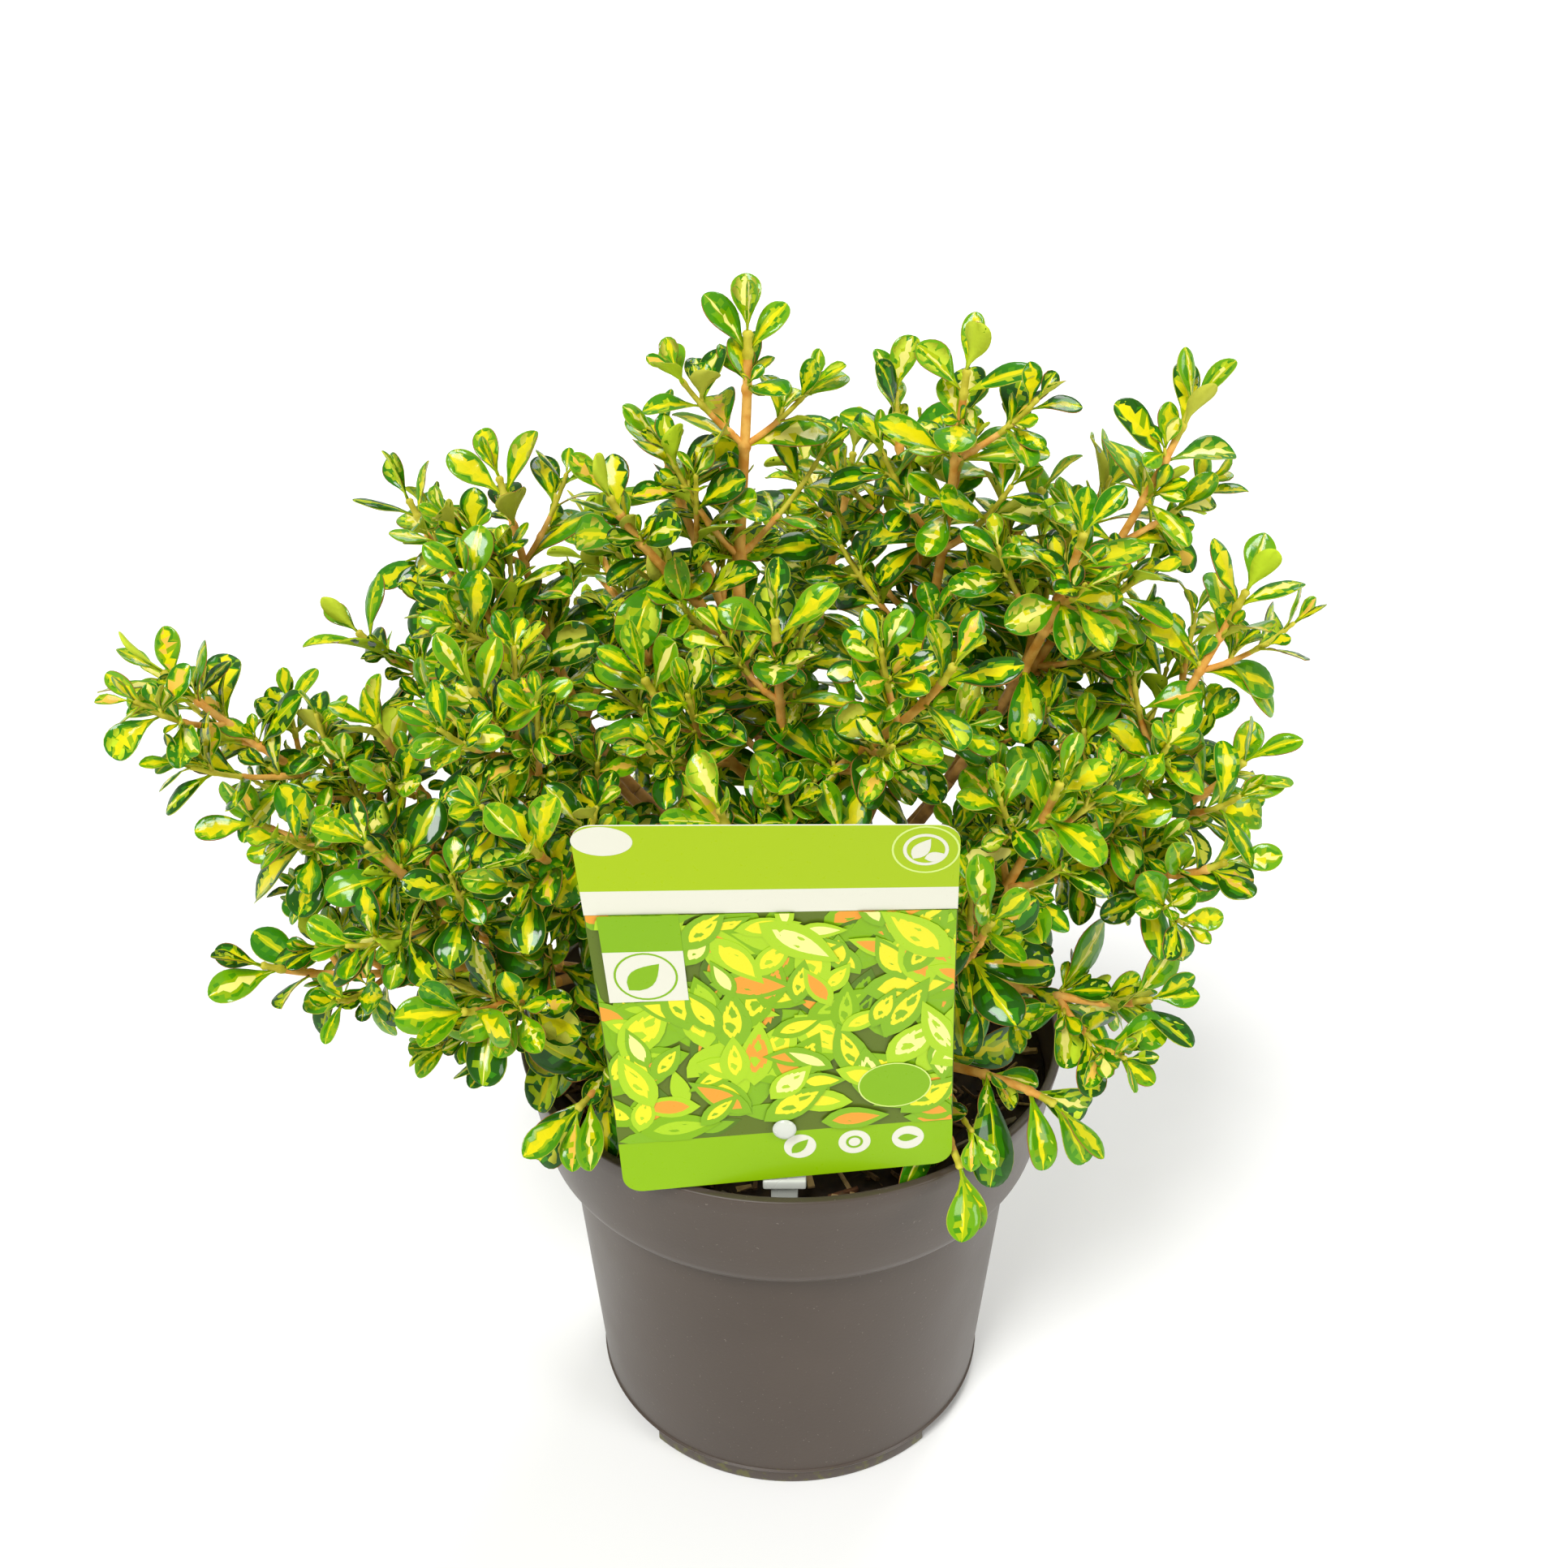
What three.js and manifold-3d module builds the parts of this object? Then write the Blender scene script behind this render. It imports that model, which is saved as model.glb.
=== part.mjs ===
// A lemon and lime coprosma in its nursery pot, with a care card held on a stake.
// Millimetres, Z up, ground at z = 0, the pot's axis at x = y = 0, and the card faces -Y.
import * as THREE from 'three';
import Module from 'manifold-3d';
import { mergeVertices } from 'three/addons/utils/BufferGeometryUtils.js';

const wasm = await Module();
wasm.setup();

const UP = new THREE.Vector3(0, 0, 1);
const SIDEWAYS = new THREE.Vector3(1, 0, 0);
const FORWARD = new THREE.Vector3(0, 1, 0);
const ASKEW = new THREE.Vector3(0.31, 0.95, 0.1); // a direction that no limb follows
const NEARLY_UPRIGHT = 0.97; // share of a direction that points up when it counts as upright
const GAP = 0.3; // clear space kept between neighbouring solids
const SEED = 55;
const SMALLEST_DETAIL = 0.08; // edges shorter than this are merged once a mass is fused
const SAME_CORNER = 1e-4;

// Pot: a 19 cm container of three litres, with a wide collar and drainage cut-outs in its foot
const POT_SEGMENTS = 40;
const POT_WALL = 1.6;
const POT_FLOOR = 8.4;
const FOOT_RADIUS = 71.5;
const FOOT_HEIGHT = 6.4;
const BODY_RADIUS_LOW = 71.9;
const BODY_RADIUS_HIGH = 80.4;
const BODY_HEIGHT = 109; // where the body ends and the sloping shoulder begins
const SHOULDER = [85.4, 112.6]; // radius and height half way up the shoulder
const COLLAR_RADIUS_LOW = 88.8;
const COLLAR_HEIGHT = 117.5; // where the shoulder ends and the collar begins
const SHOULDER_LIFT = 0.8; // the inner wall's rise that keeps the shoulder as thick as the wall
const RIM_RADIUS = 95;
const RIM_WIDTH = 3;
const RIM_ROUNDING = 0.8;
const POT_HEIGHT = 154;
const CUTOUT_DEPTH = 5;
const CUTOUT_SPAN = 90; // degrees of the foot taken out on each side
const CUTOUT_SEGMENTS = 8;

// Soil inside the pot
const SOIL_EDGE = 138.6;
const SOIL_HEIGHT = 141;
const SOIL_FLAT_RADIUS = 24;
const SOIL_GAP = 0.35;

// Main stem: short, flared at the soil, leaning a little, with limbs leaving it all the way up
const STEM_FOOT = [-3, 5];
const STEM_LEAN = [5, -4];
const STEM_LENGTH = 60;
const STEM_RINGS = [[0, 11.5], [0.05, 9.4], [0.14, 7.6], [0.35, 6.7], [0.7, 6.0], [1, 5.4]];
const STEM_SIDES = 12;

// Boughs and the shoots that carry on from them
const BOUGH_BASE_RADIUS = 2.3;
const BOUGH_END_RADIUS = 1.6;
const BOUGH_SIDES = 5;
const BOUGH_STEPS = 5;
const BOUGH_SHARE = 0.36; // share of the way to the shoot tips that the bough covers
const TWIG_BASE_RADIUS = 1.5;
const TWIG_END_RADIUS = 0.75;
const TWIG_STEPS = 6;
const SHOOT_SIDES = 3;
const BRANCH_STEP = 1; // the step of a mass's first shoot from which its others branch off
const BEND = 0.34; // how far the curve's handles reach along a limb
const TIP_LEAF_REACH = 15; // the end leaves stand this far beyond the end of their shoot

// Leaves sit in crossed pairs; they are a little larger than life because there are fewer
const NODE_SPACING = 18;
const BARE_LENGTH = 9; // length at the foot of a shoot that carries no leaves
const LEAF_LENGTHS = [25, 33, 36, 36, 36]; // youngest first
const LEAF_ANGLES = [24, 44, 56, 64, 68]; // degrees open from the twig, youngest first
const TURN_JITTER = 0.3;
const ANGLE_JITTER = 14;
const SHORTEST_LEAF = 0.92; // share of its length that the shortest leaf of a pair has
const LENGTH_JITTER = 0.16;
const END_INSET = 0.8;
const LEAF_HALF_WIDTH = 0.34;
const LEAF_WIDEST_AT = 0.64;
const LEAF_THICKNESS = 0.05;
const LEAF_RIDGE_AT = 0.36; // where along the leaf its upper and its lower middle point are
const LEAF_KEEL_AT = 0.42;
const LEAF_RIDGE = 0.6; // how far they stand off the middle, as a share of the thickness
const LEAF_CUP = 0.07;
const LEAF_DROOP = 0.1;
const LEAF_ROOT = 0.5; // how deep a leaf's root is sunk past the middle of its twig
const SIDE_TWIG_LENGTHS = [24, 34];
const SIDE_TWIG_RADIUS = 0.95;
const SIDE_TWIG_EVERY = 4;
const SIDE_TWIG_RISE = 0.2;
const SIDE_TWIG_PAIR_AT = 0.55;

// Each shoot swells into a dense heart on its lower part, which its leaves stand out of
const HEART_RADIUS = 19;
const HEART_FROM = 0.03; // shares of the way along a shoot
const HEART_TO = 0.64;
const HEART_FULLNESS = 0.7; // below 1 the heart is fuller towards its ends
const HEART_ROUGHNESS = 0.3;
const PULL_IN = 0.85; // each step that a corner is pulled in by
const ROOT_IN_HEART = 0.3; // a leaf's root stands this share of the way out from its middle

// Space kept between the masses of foliage, and from the limbs and the things around them
const MASS_ROOM = 0.7;
const LIMB_ROOM = 3.2;
const THING_ROOM = 1.6;
const STEM_CLEAR_ABOVE = 1.05; // share of the stem's length up to which its room is kept
const EDGE_SPOTS = [0.5, 0.25, 0.25]; // where a small face's three edges are tested

// Care card: about 10 by 14 cm, leaning forward, bowed and a little twisted, on a stake
const CARD_WIDTH = 101;
const CARD_HEIGHT = 140; // upright extent, a little less than the length along its face
const CARD_THICKNESS = 0.8;
const CARD_CORNER = 6;
const CARD_CENTRE = [-4.5, -94.8, 227];
const CARD_ROLL = 2.9; // degrees that the top leans towards -X
const CARD_LEAN = 12.6; // how far the top edge stands forward of the middle
const CARD_BOW = 4.2;
const CARD_TWIST = 4.1;
const CARD_CORNER_STEPS = 3;
const CARD_ROWS = 8; // strips between the rounded corners
const STUD_AT = [-0.3, -48.5]; // in the card's own plane
const STUD_RADIUS = 2;
const STUD_SIDES = 12;
const STUD_SUNK = 1; // how far the stud runs into the stake
const STUD_HOLE_EASE = 0.2;
const STUD_HEAD_RADIUS = 3.6;
const STUD_HEAD_THICKNESS = 1.4;
const STUD_HEAD_GAP = 0.7;
const STUD_HEAD_SIDES = 16;
const STAKE_FRONT = -85.2;
const STAKE_WIDTH = 8.4;
const STAKE_THICKNESS = 2.2;
const STAKE_ABOVE_STUD = 5;
const STAKE_IN_SOIL = 18;
const BAR_WIDTH = 13.4;
const BAR_HEIGHT = 3.6;
const BAR_DEPTH = 4.4;
const BAR_LEVEL = 154.3;
const BAR_FORWARD = 2.2; // how far the bar stands in front of the stake

// Limbs: height of the limb's foot on the main stem as a share of its length, how steeply it
// leaves the stem in degrees, how much its shoots turn up, and the bearing from +X, the reach
// from the pot's axis and the height of each shoot's furthest leaf.
const LIMBS = [
  ['leader', 1, 82, 0.5, [120, 27, 405], [187, 60, 362], [150, 50, 370]],
  ['spire', 0.93, 50, 0.6, [4, 52, 398], [62, 70, 376], [12, 84, 357]],
  ['centre', 0.9, 45, 0.5, [262, 40, 338], [306, 84, 334], [222, 66, 320]],
  ['crest', 0.78, 45, 0.5, [6, 125, 384], [346, 90, 356], [20, 112, 355]],
  ['shoulder', 0.86, 45, 0.5, [155, 109, 352], [170, 155, 302], [178, 106, 332]],
  ['back', 0.84, 45, 0.5, [92, 146, 292], [76, 98, 345]],
  ['back_left', 0.66, 38, 0.5, [148, 166, 329], [141, 150, 245]],
  ['back_mid', 0.52, 38, 0.5, [122, 148, 304], [106, 132, 232]],
  ['back_right', 0.66, 38, 0.5, [47, 142, 316], [24, 140, 276]],
  ['front', 0.6, 38, 0.45, [254, 83, 295], [284, 80, 288]],
  ['front_left', 0.64, 38, 0.45, [226, 114, 282], [205, 108, 318]],
  ['right', 0.42, 30, 0.5, [356, 143, 334], [350, 150, 282], [340, 150, 257]],
  ['front_right', 0.32, 30, 0.45, [302, 110, 264], [332, 139, 214], [322, 102, 296]],
  ['left', 0.4, 30, 0.35, [182, 206, 303], [189, 182, 258], [186, 136, 290]],
  ['left_front', 0.3, 30, 0.4, [203, 146, 270], [219, 136, 222]],
  ['low_right', 0.2, 24, 0.3, [8, 130, 222], [40, 142, 226]],
  ['low_left', 0.2, 24, 0.3, [193, 187, 210], [168, 160, 214]],
  ['low_back', 0.2, 24, 0.3, [76, 138, 208], [128, 142, 200]],
  ['rim_right', 0.18, 36, -0.3, [318, 125, 172], [300, 113, 152]],
  ['rim_left', 0.18, 34, -0.2, [229, 114, 170], [212, 120, 192]],
].map(([name, at, pitch, turn, ...shoots]) => ({ name, at, pitch, turn, shoots }));

const COLOURS = {
  pot: ['#696159', 0.62],
  soil: ['#2e241b', 0.95],
  stem: ['#6d5233', 0.85],
  bough: ['#96703a', 0.75],
  foliage: ['#8f9f35', 0.42],
  card: ['#7fb52a', 0.4],
  stake: ['#c9ccc8', 0.3],
};

// A repeatable stream of numbers between 0 and 1
function stream(seed) {
  let state = seed >>> 0;
  return () => {
    state = (state + 0x6d2b79f5) >>> 0;
    let t = state;
    t = Math.imul(t ^ (t >>> 15), t | 1);
    t ^= t + Math.imul(t ^ (t >>> 7), t | 61);
    return ((t ^ (t >>> 14)) >>> 0) / 4294967296;
  };
}

function mesh(name, geometry, kind) {
  const [colour, roughness] = COLOURS[kind];
  const material = new THREE.MeshStandardMaterial({ color: colour, roughness, metalness: 0 });
  const made = new THREE.Mesh(geometry, material);
  made.name = name;
  return made;
}

function geometryOf(points, faces) {
  const geometry = new THREE.BufferGeometry();
  const flat = points.flatMap((p) => [p.x, p.y, p.z]);
  geometry.setAttribute('position', new THREE.Float32BufferAttribute(flat, 3));
  geometry.setIndex(faces.flat());
  return geometry;
}

function toManifold(points, faces) {
  const vertProperties = new Float32Array(points.flatMap((p) => [p.x, p.y, p.z]));
  const triVerts = new Uint32Array(faces.flat());
  return new wasm.Manifold(new wasm.Mesh({ numProp: 3, vertProperties, triVerts }));
}

function fromManifold(solid) {
  const got = solid.getMesh();
  const geometry = new THREE.BufferGeometry();
  geometry.setAttribute('position', new THREE.Float32BufferAttribute(got.vertProperties, 3));
  geometry.setIndex(Array.from(got.triVerts));
  return geometry;
}

// Fuses the pieces into one body, which fills sealed hollows and drops loose scraps
function fuse(pieces) {
  const parts = wasm.Manifold.union(pieces).decompose();
  let largest = parts[0];
  for (const part of parts) {
    if (part.volume() > largest.volume()) largest = part;
  }
  return largest.simplify(SMALLEST_DETAIL);
}

function polar(bearing, reach, height) {
  const turn = THREE.MathUtils.degToRad(bearing);
  return new THREE.Vector3(reach * Math.cos(turn), reach * Math.sin(turn), height);
}

function mix(a, b, share) {
  return a + (b - a) * share;
}

// A closed surface over rings of the same number of corners, flat at both ends. Each side is
// cut into triangles along one diagonal, or along the other one where it is listed as turned.
function loft(rings, turned = []) {
  const sides = rings[0].length;
  const faces = [];
  for (let i = 0; i + 1 < rings.length; i += 1) {
    for (let k = 0; k < sides; k += 1) {
      const next = (k + 1) % sides;
      const [a, b] = [i * sides + k, i * sides + next];
      const [c, d] = [b + sides, a + sides];
      if (turned.includes(k)) faces.push([a, b, d], [b, c, d]);
      else faces.push([a, b, c], [a, c, d]);
    }
  }
  const last = (rings.length - 1) * sides;
  for (let k = 1; k + 1 < sides; k += 1) {
    faces.push([0, k + 1, k], [last, last + k, last + k + 1]);
  }
  return [rings.flat(), faces];
}

// A tapering limb along a path, closed flat at both ends, whose corners may be pulled in
function limb(path, radii, sides, pull = (corner) => corner) {
  let across = null;
  const rings = path.map((at, i) => {
    const ahead = path[Math.min(i + 1, path.length - 1)];
    const behind = path[Math.max(i - 1, 0)];
    const along = ahead.clone().sub(behind).normalize();
    if (!across) {
      const upright = Math.abs(along.z) > NEARLY_UPRIGHT;
      across = (upright ? SIDEWAYS : UP).clone();
    }
    across.addScaledVector(along, -across.dot(along)).normalize();
    const other = along.clone().cross(across);
    return Array.from({ length: sides }, (_, k) => {
      const turn = (2 * Math.PI * k) / sides;
      const corner = at.clone()
        .addScaledVector(across, radii[i] * Math.cos(turn))
        .addScaledVector(other, radii[i] * Math.sin(turn));
      return pull(corner, at, i);
    });
  });
  return loft(rings);
}

function taper(from, to, count) {
  return Array.from({ length: count }, (_, i) => mix(from, to, i / (count - 1)));
}

// The main stem's middle line and its radius at a share of its length
function stemPoint(share) {
  return new THREE.Vector3(
    STEM_FOOT[0] + STEM_LEAN[0] * share * share,
    STEM_FOOT[1] + STEM_LEAN[1] * share * share,
    SOIL_HEIGHT + GAP + STEM_LENGTH * share,
  );
}

function stemRadius(share) {
  const k = STEM_RINGS.findIndex(([at]) => at >= share);
  const [to, radiusTo] = STEM_RINGS[Math.max(k, 1)];
  const [from, radiusFrom] = STEM_RINGS[Math.max(k, 1) - 1];
  return mix(radiusFrom, radiusTo, (share - from) / (to - from));
}

// A curve that leaves one point on a heading and turns up on its way to another
function sweep(from, heading, to, turn) {
  const span = from.distanceTo(to);
  const aim = to.clone().sub(from).normalize();
  const arrive = aim.addScaledVector(UP, turn).normalize();
  return new THREE.CubicBezierCurve3(
    from,
    from.clone().addScaledVector(heading, span * BEND),
    to.clone().addScaledVector(arrive, -span * BEND),
    to,
  );
}

function samples(curve, count, upTo) {
  return Array.from({ length: count + 1 }, (_, i) => curve.getPoint((upTo * i) / count));
}

// The bough and the shoots of one limb, as lines to be thickened
function skeleton(spec) {
  const tips = spec.shoots.map(([bearing, reach, height]) => polar(bearing, reach, height));
  const middle = new THREE.Vector3();
  tips.forEach((tip) => middle.addScaledVector(tip, 1 / tips.length));
  const out = new THREE.Vector3(middle.x, middle.y, 0).sub(stemPoint(spec.at).setZ(0)).normalize();
  const pitch = THREE.MathUtils.degToRad(spec.pitch);
  const heading = out.clone().multiplyScalar(Math.cos(pitch)).addScaledVector(UP, Math.sin(pitch));
  const foot = stemPoint(spec.at);
  if (spec.at === 1) {
    const upward = foot.clone().sub(stemPoint(STEM_RINGS.at(-2)[0])).normalize();
    foot.addScaledVector(upward, GAP + BOUGH_BASE_RADIUS * Math.sin(heading.angleTo(upward)));
  } else {
    foot.addScaledVector(out, stemRadius(spec.at) + GAP + BOUGH_BASE_RADIUS * Math.sin(pitch));
  }
  const whole = sweep(foot, heading, middle, spec.turn);
  const bough = samples(whole, BOUGH_STEPS, BOUGH_SHARE);
  const onward = whole.getTangent(BOUGH_SHARE);
  const fork = bough[BOUGH_STEPS].clone().addScaledVector(onward, GAP);
  const reachFor = (from, heading, tip) => {
    const aim = tip.clone().sub(from).normalize().addScaledVector(UP, spec.turn).normalize();
    const end = tip.clone().addScaledVector(aim, -TIP_LEAF_REACH);
    return samples(sweep(from, heading, end, spec.turn), TWIG_STEPS, 1);
  };
  const first = reachFor(fork, onward, tips[0]);
  const branch = first[BRANCH_STEP];
  const others = tips.slice(1).map((tip) => {
    const heading = onward.clone().add(tip.clone().sub(branch).normalize()).normalize();
    return reachFor(branch, heading, tip);
  });
  const shoots = [first, ...others];
  return { bough, shoots };
}

function distanceToLine(point, line) {
  let best = Infinity;
  const closest = new THREE.Vector3();
  for (let i = 0; i + 1 < line.length; i += 1) {
    const piece = new THREE.Line3(line[i], line[i + 1]);
    piece.closestPointToPoint(point, true, closest);
    best = Math.min(best, closest.distanceTo(point));
  }
  return best;
}

// How far the card lies behind its middle at a place on it
function cardDepth(across, up) {
  const u = across / (CARD_WIDTH / 2);
  const v = up / (CARD_HEIGHT / 2);
  return -CARD_LEAN * v - CARD_BOW * v * v - CARD_TWIST * u * v;
}

// A place on the card, or behind it by a distance
function onCard(across, up, behind = 0) {
  return new THREE.Vector3(across, cardDepth(across, up) + behind, up)
    .applyAxisAngle(FORWARD, -THREE.MathUtils.degToRad(CARD_ROLL))
    .add(new THREE.Vector3(...CARD_CENTRE));
}

// Where a point lies by the card: across it, in front of or behind it, and up
function inCardPlane(point) {
  const flat = point.clone().sub(new THREE.Vector3(...CARD_CENTRE))
    .applyAxisAngle(FORWARD, THREE.MathUtils.degToRad(CARD_ROLL));
  flat.y -= cardDepth(flat.x, flat.z);
  return flat;
}

// Whether points keep clear of the pot, the soil, the stem and the card with its stake
function clearOfThings(points) {
  let inFront = 0;
  let behind = 0;
  for (const p of points) {
    const reach = Math.hypot(p.x, p.y);
    if (reach < RIM_RADIUS - RIM_WIDTH - THING_ROOM) {
      if (p.z < SOIL_HEIGHT + THING_ROOM) return false;
    } else if (reach < RIM_RADIUS + THING_ROOM) {
      if (p.z < POT_HEIGHT + THING_ROOM) return false;
    }
    const share = (p.z - SOIL_HEIGHT) / STEM_LENGTH;
    if (share < STEM_CLEAR_ABOVE) {
      const level = THREE.MathUtils.clamp(share, 0, 1);
      const middle = stemPoint(level);
      const room = Math.hypot(p.x - middle.x, p.y - middle.y);
      if (room < stemRadius(level) + THING_ROOM) return false;
    }
    const flat = inCardPlane(p);
    const beside = Math.abs(flat.x) > CARD_WIDTH / 2 + THING_ROOM;
    const above = Math.abs(flat.z) > CARD_HEIGHT / 2 + THING_ROOM;
    if (!beside && !above) {
      if (Math.abs(flat.y) < THING_ROOM) return false;
      if (flat.y < 0) inFront += 1;
      else behind += 1;
    }
    const byStake = Math.abs(flat.x - STUD_AT[0]) < BAR_WIDTH / 2 + THING_ROOM;
    const lowDown = flat.z < STUD_AT[1] + STAKE_ABOVE_STUD + THING_ROOM;
    if (byStake && lowDown && Math.abs(flat.y) < BAR_DEPTH + THING_ROOM) return false;
  }
  return inFront === 0 || behind === 0;
}

// Whether points are nearer to their own limb than to any other, and clear of every bough
function inOwnSpace(points, own, skeletons) {
  return points.every((p) => {
    const line = skeletons[own];
    const toOwn = Math.min(...line.shoots.map((shoot) => distanceToLine(p, shoot)));
    if (distanceToLine(p, line.bough) < LIMB_ROOM) return false;
    const nearest = Math.min(toOwn, distanceToLine(p, line.bough));
    return skeletons.every((other, k) => {
      if (k === own) return true;
      const reach = Math.max(nearest + MASS_ROOM, LIMB_ROOM);
      if (distanceToLine(p, other.bough) < reach) return false;
      return other.shoots.every((shoot) => distanceToLine(p, shoot) >= reach);
    });
  });
}

// Points spread along the edges of a small piece, to test it against its neighbours
function spread(points, faces) {
  const found = [...points];
  for (const [a, b, c] of faces) {
    const corners = [points[a], points[b], points[c]];
    found.push(points[a].clone().add(points[b]).add(points[c]).divideScalar(3));
    EDGE_SPOTS.forEach((share, k) => {
      found.push(corners[k].clone().lerp(corners[(k + 1) % 3], share));
    });
  }
  return found;
}

// A leaf of eight faces: root, tip and two shoulders, with a ridge above and a keel below
function leaf(root, along, face, length) {
  const side = along.clone().cross(face).normalize();
  const at = (forward, sideways, rise) => root.clone()
    .addScaledVector(along, forward)
    .addScaledVector(side, sideways)
    .addScaledVector(face, rise);
  const rise = length * LEAF_THICKNESS * LEAF_RIDGE;
  const points = [
    at(-LEAF_ROOT, 0, 0),
    at(length * LEAF_WIDEST_AT, length * LEAF_HALF_WIDTH, length * LEAF_CUP),
    at(length, 0, -length * LEAF_DROOP),
    at(length * LEAF_WIDEST_AT, -length * LEAF_HALF_WIDTH, length * LEAF_CUP),
    at(length * LEAF_RIDGE_AT, 0, rise),
    at(length * LEAF_KEEL_AT, 0, -rise),
  ];
  const faces = [
    [0, 1, 4], [1, 2, 4], [2, 3, 4], [3, 0, 4],
    [1, 0, 5], [2, 1, 5], [3, 2, 5], [0, 3, 5],
  ];
  return [points, faces];
}

function perpendicular(along, turn) {
  const first = ASKEW.clone().cross(along).normalize();
  return first.applyAxisAngle(along, turn);
}

// A pair of leaves opposite each other, as pieces still to be tested
function leafPair(at, along, turn, spreadAngle, length, rise, random) {
  return [0, Math.PI].map((half) => {
    const outward = perpendicular(along, turn + half + (random() - 0.5) * TURN_JITTER);
    const angle = THREE.MathUtils.degToRad(spreadAngle + (random() - 0.5) * ANGLE_JITTER);
    const aim = along.clone().multiplyScalar(Math.cos(angle))
      .addScaledVector(outward, Math.sin(angle));
    const face = along.clone().addScaledVector(aim, -along.dot(aim)).normalize();
    const root = at.clone().addScaledVector(outward, rise);
    return leaf(root, aim, face, length * (SHORTEST_LEAF + random() * LENGTH_JITTER));
  });
}

// The place and direction at a distance along a line
function placeAlong(line, distance) {
  let left = distance;
  for (let i = 0; i + 1 < line.length; i += 1) {
    const step = line[i].distanceTo(line[i + 1]);
    if (left <= step || i + 2 === line.length) {
      const share = Math.min(left / step, 1);
      const direction = line[i + 1].clone().sub(line[i]).normalize();
      return [line[i].clone().lerp(line[i + 1], share), direction];
    }
    left -= step;
  }
  return [line[0].clone(), UP.clone()];
}

function lengthOf(line) {
  let total = 0;
  for (let i = 0; i + 1 < line.length; i += 1) total += line[i].distanceTo(line[i + 1]);
  return total;
}

// How far a shoot's dense heart stands out at a share of its length
function heartRadius(share) {
  const inside = (share - HEART_FROM) / (HEART_TO - HEART_FROM);
  if (inside <= 0 || inside >= 1) return 0;
  return HEART_RADIUS * Math.sin(Math.PI * inside) ** HEART_FULLNESS;
}

// A shoot with its heart, each corner pulled in until it keeps to the mass's own space
function shootBody(line, fits, random) {
  const twig = taper(TWIG_BASE_RADIUS, TWIG_END_RADIUS, line.length);
  const radii = twig.map((radius, i) => Math.max(radius, heartRadius(i / TWIG_STEPS)));
  return limb(line, radii, SHOOT_SIDES, (corner, at, i) => {
    const outward = corner.clone().sub(at).normalize();
    let radius = radii[i] * (1 - HEART_ROUGHNESS * random());
    const place = () => at.clone().addScaledVector(outward, radius);
    while (radius > twig[i] && !fits([[place()], []])) radius *= PULL_IN;
    radius = Math.max(radius, twig[i]);
    return place();
  });
}

// The mass of foliage that one limb carries: shoots, side twigs and leaves fused into one solid
function foliage(own, skeletons, random) {
  const kept = [];
  const fits = ([points, faces]) => {
    const tested = spread(points, faces);
    return clearOfThings(tested) && inOwnSpace(tested, own, skeletons);
  };
  const offer = (pieces) => {
    for (const piece of pieces.filter(fits)) kept.push(toManifold(...piece));
  };
  skeletons[own].shoots.forEach((line, k) => {
    kept.push(toManifold(...shootBody(line, fits, random)));
    const total = lengthOf(line);
    let turn = random() * Math.PI;
    for (let node = 0; node * NODE_SPACING < total - BARE_LENGTH; node += 1) {
      const distance = total - Math.max(node * NODE_SPACING, END_INSET);
      const [at, direction] = placeAlong(line, distance);
      const age = Math.min(node, LEAF_LENGTHS.length - 1);
      const rise = heartRadius(distance / total) * ROOT_IN_HEART;
      offer(leafPair(at, direction, turn, LEAF_ANGLES[age], LEAF_LENGTHS[age], rise, random));
      if (node > 1 && node % SIDE_TWIG_EVERY === k % SIDE_TWIG_EVERY) {
        const [twig, leaves] = sideTwig(at, direction, turn + Math.PI / 2, rise, random);
        if (fits(twig)) {
          kept.push(toManifold(...twig));
          offer(leaves);
        }
      }
      turn += Math.PI / 2 + (random() - 0.5) * TURN_JITTER;
    }
  });
  return fuse(kept);
}

// A side twig, with a pair of leaves half way along it and a pair at its end
function sideTwig(at, direction, turn, rise, random) {
  const outward = perpendicular(direction, turn + (random() < 0.5 ? 0 : Math.PI));
  const aim = direction.clone().add(outward).addScaledVector(UP, SIDE_TWIG_RISE).normalize();
  const reach = rise + mix(...SIDE_TWIG_LENGTHS, random());
  const end = at.clone().addScaledVector(aim, reach);
  const twig = limb([at, end], [SIDE_TWIG_RADIUS, TWIG_END_RADIUS], SHOOT_SIDES);
  const inset = end.clone().addScaledVector(aim, -END_INSET);
  const halfWay = at.clone().lerp(end, SIDE_TWIG_PAIR_AT);
  const [endLength, midLength] = LEAF_LENGTHS;
  const [endAngle, midAngle] = LEAF_ANGLES;
  const leaves = [
    ...leafPair(halfWay, aim, turn, midAngle, midLength, 0, random),
    ...leafPair(inset, aim, turn + Math.PI / 2, endAngle, endLength, 0, random),
  ];
  return [twig, leaves];
}

// A turned solid from a profile of [radius, height] that starts and ends on the pot's axis
function turned(profile) {
  const points = profile.map(([radius, height]) => new THREE.Vector2(radius, height));
  return new THREE.LatheGeometry(points, POT_SEGMENTS).rotateX(Math.PI / 2);
}

// One of three's own shapes with nothing but its corners, so that they can be merged
function bareShape(geometry) {
  geometry.deleteAttribute('normal');
  geometry.deleteAttribute('uv');
  return geometry;
}

// A closed surface from three's own shapes, made ready for joining and cutting
function solidOf(geometry) {
  const merged = mergeVertices(bareShape(geometry), SAME_CORNER);
  const index = merged.getIndex().array;
  const triVerts = [];
  for (let i = 0; i < index.length; i += 3) {
    const [a, b, c] = [index[i], index[i + 1], index[i + 2]];
    if (a !== b && b !== c && c !== a) triVerts.push(a, b, c);
  }
  return new wasm.Manifold(new wasm.Mesh({
    numProp: 3,
    vertProperties: new Float32Array(merged.getAttribute('position').array),
    triVerts: new Uint32Array(triVerts),
  }));
}

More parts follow.
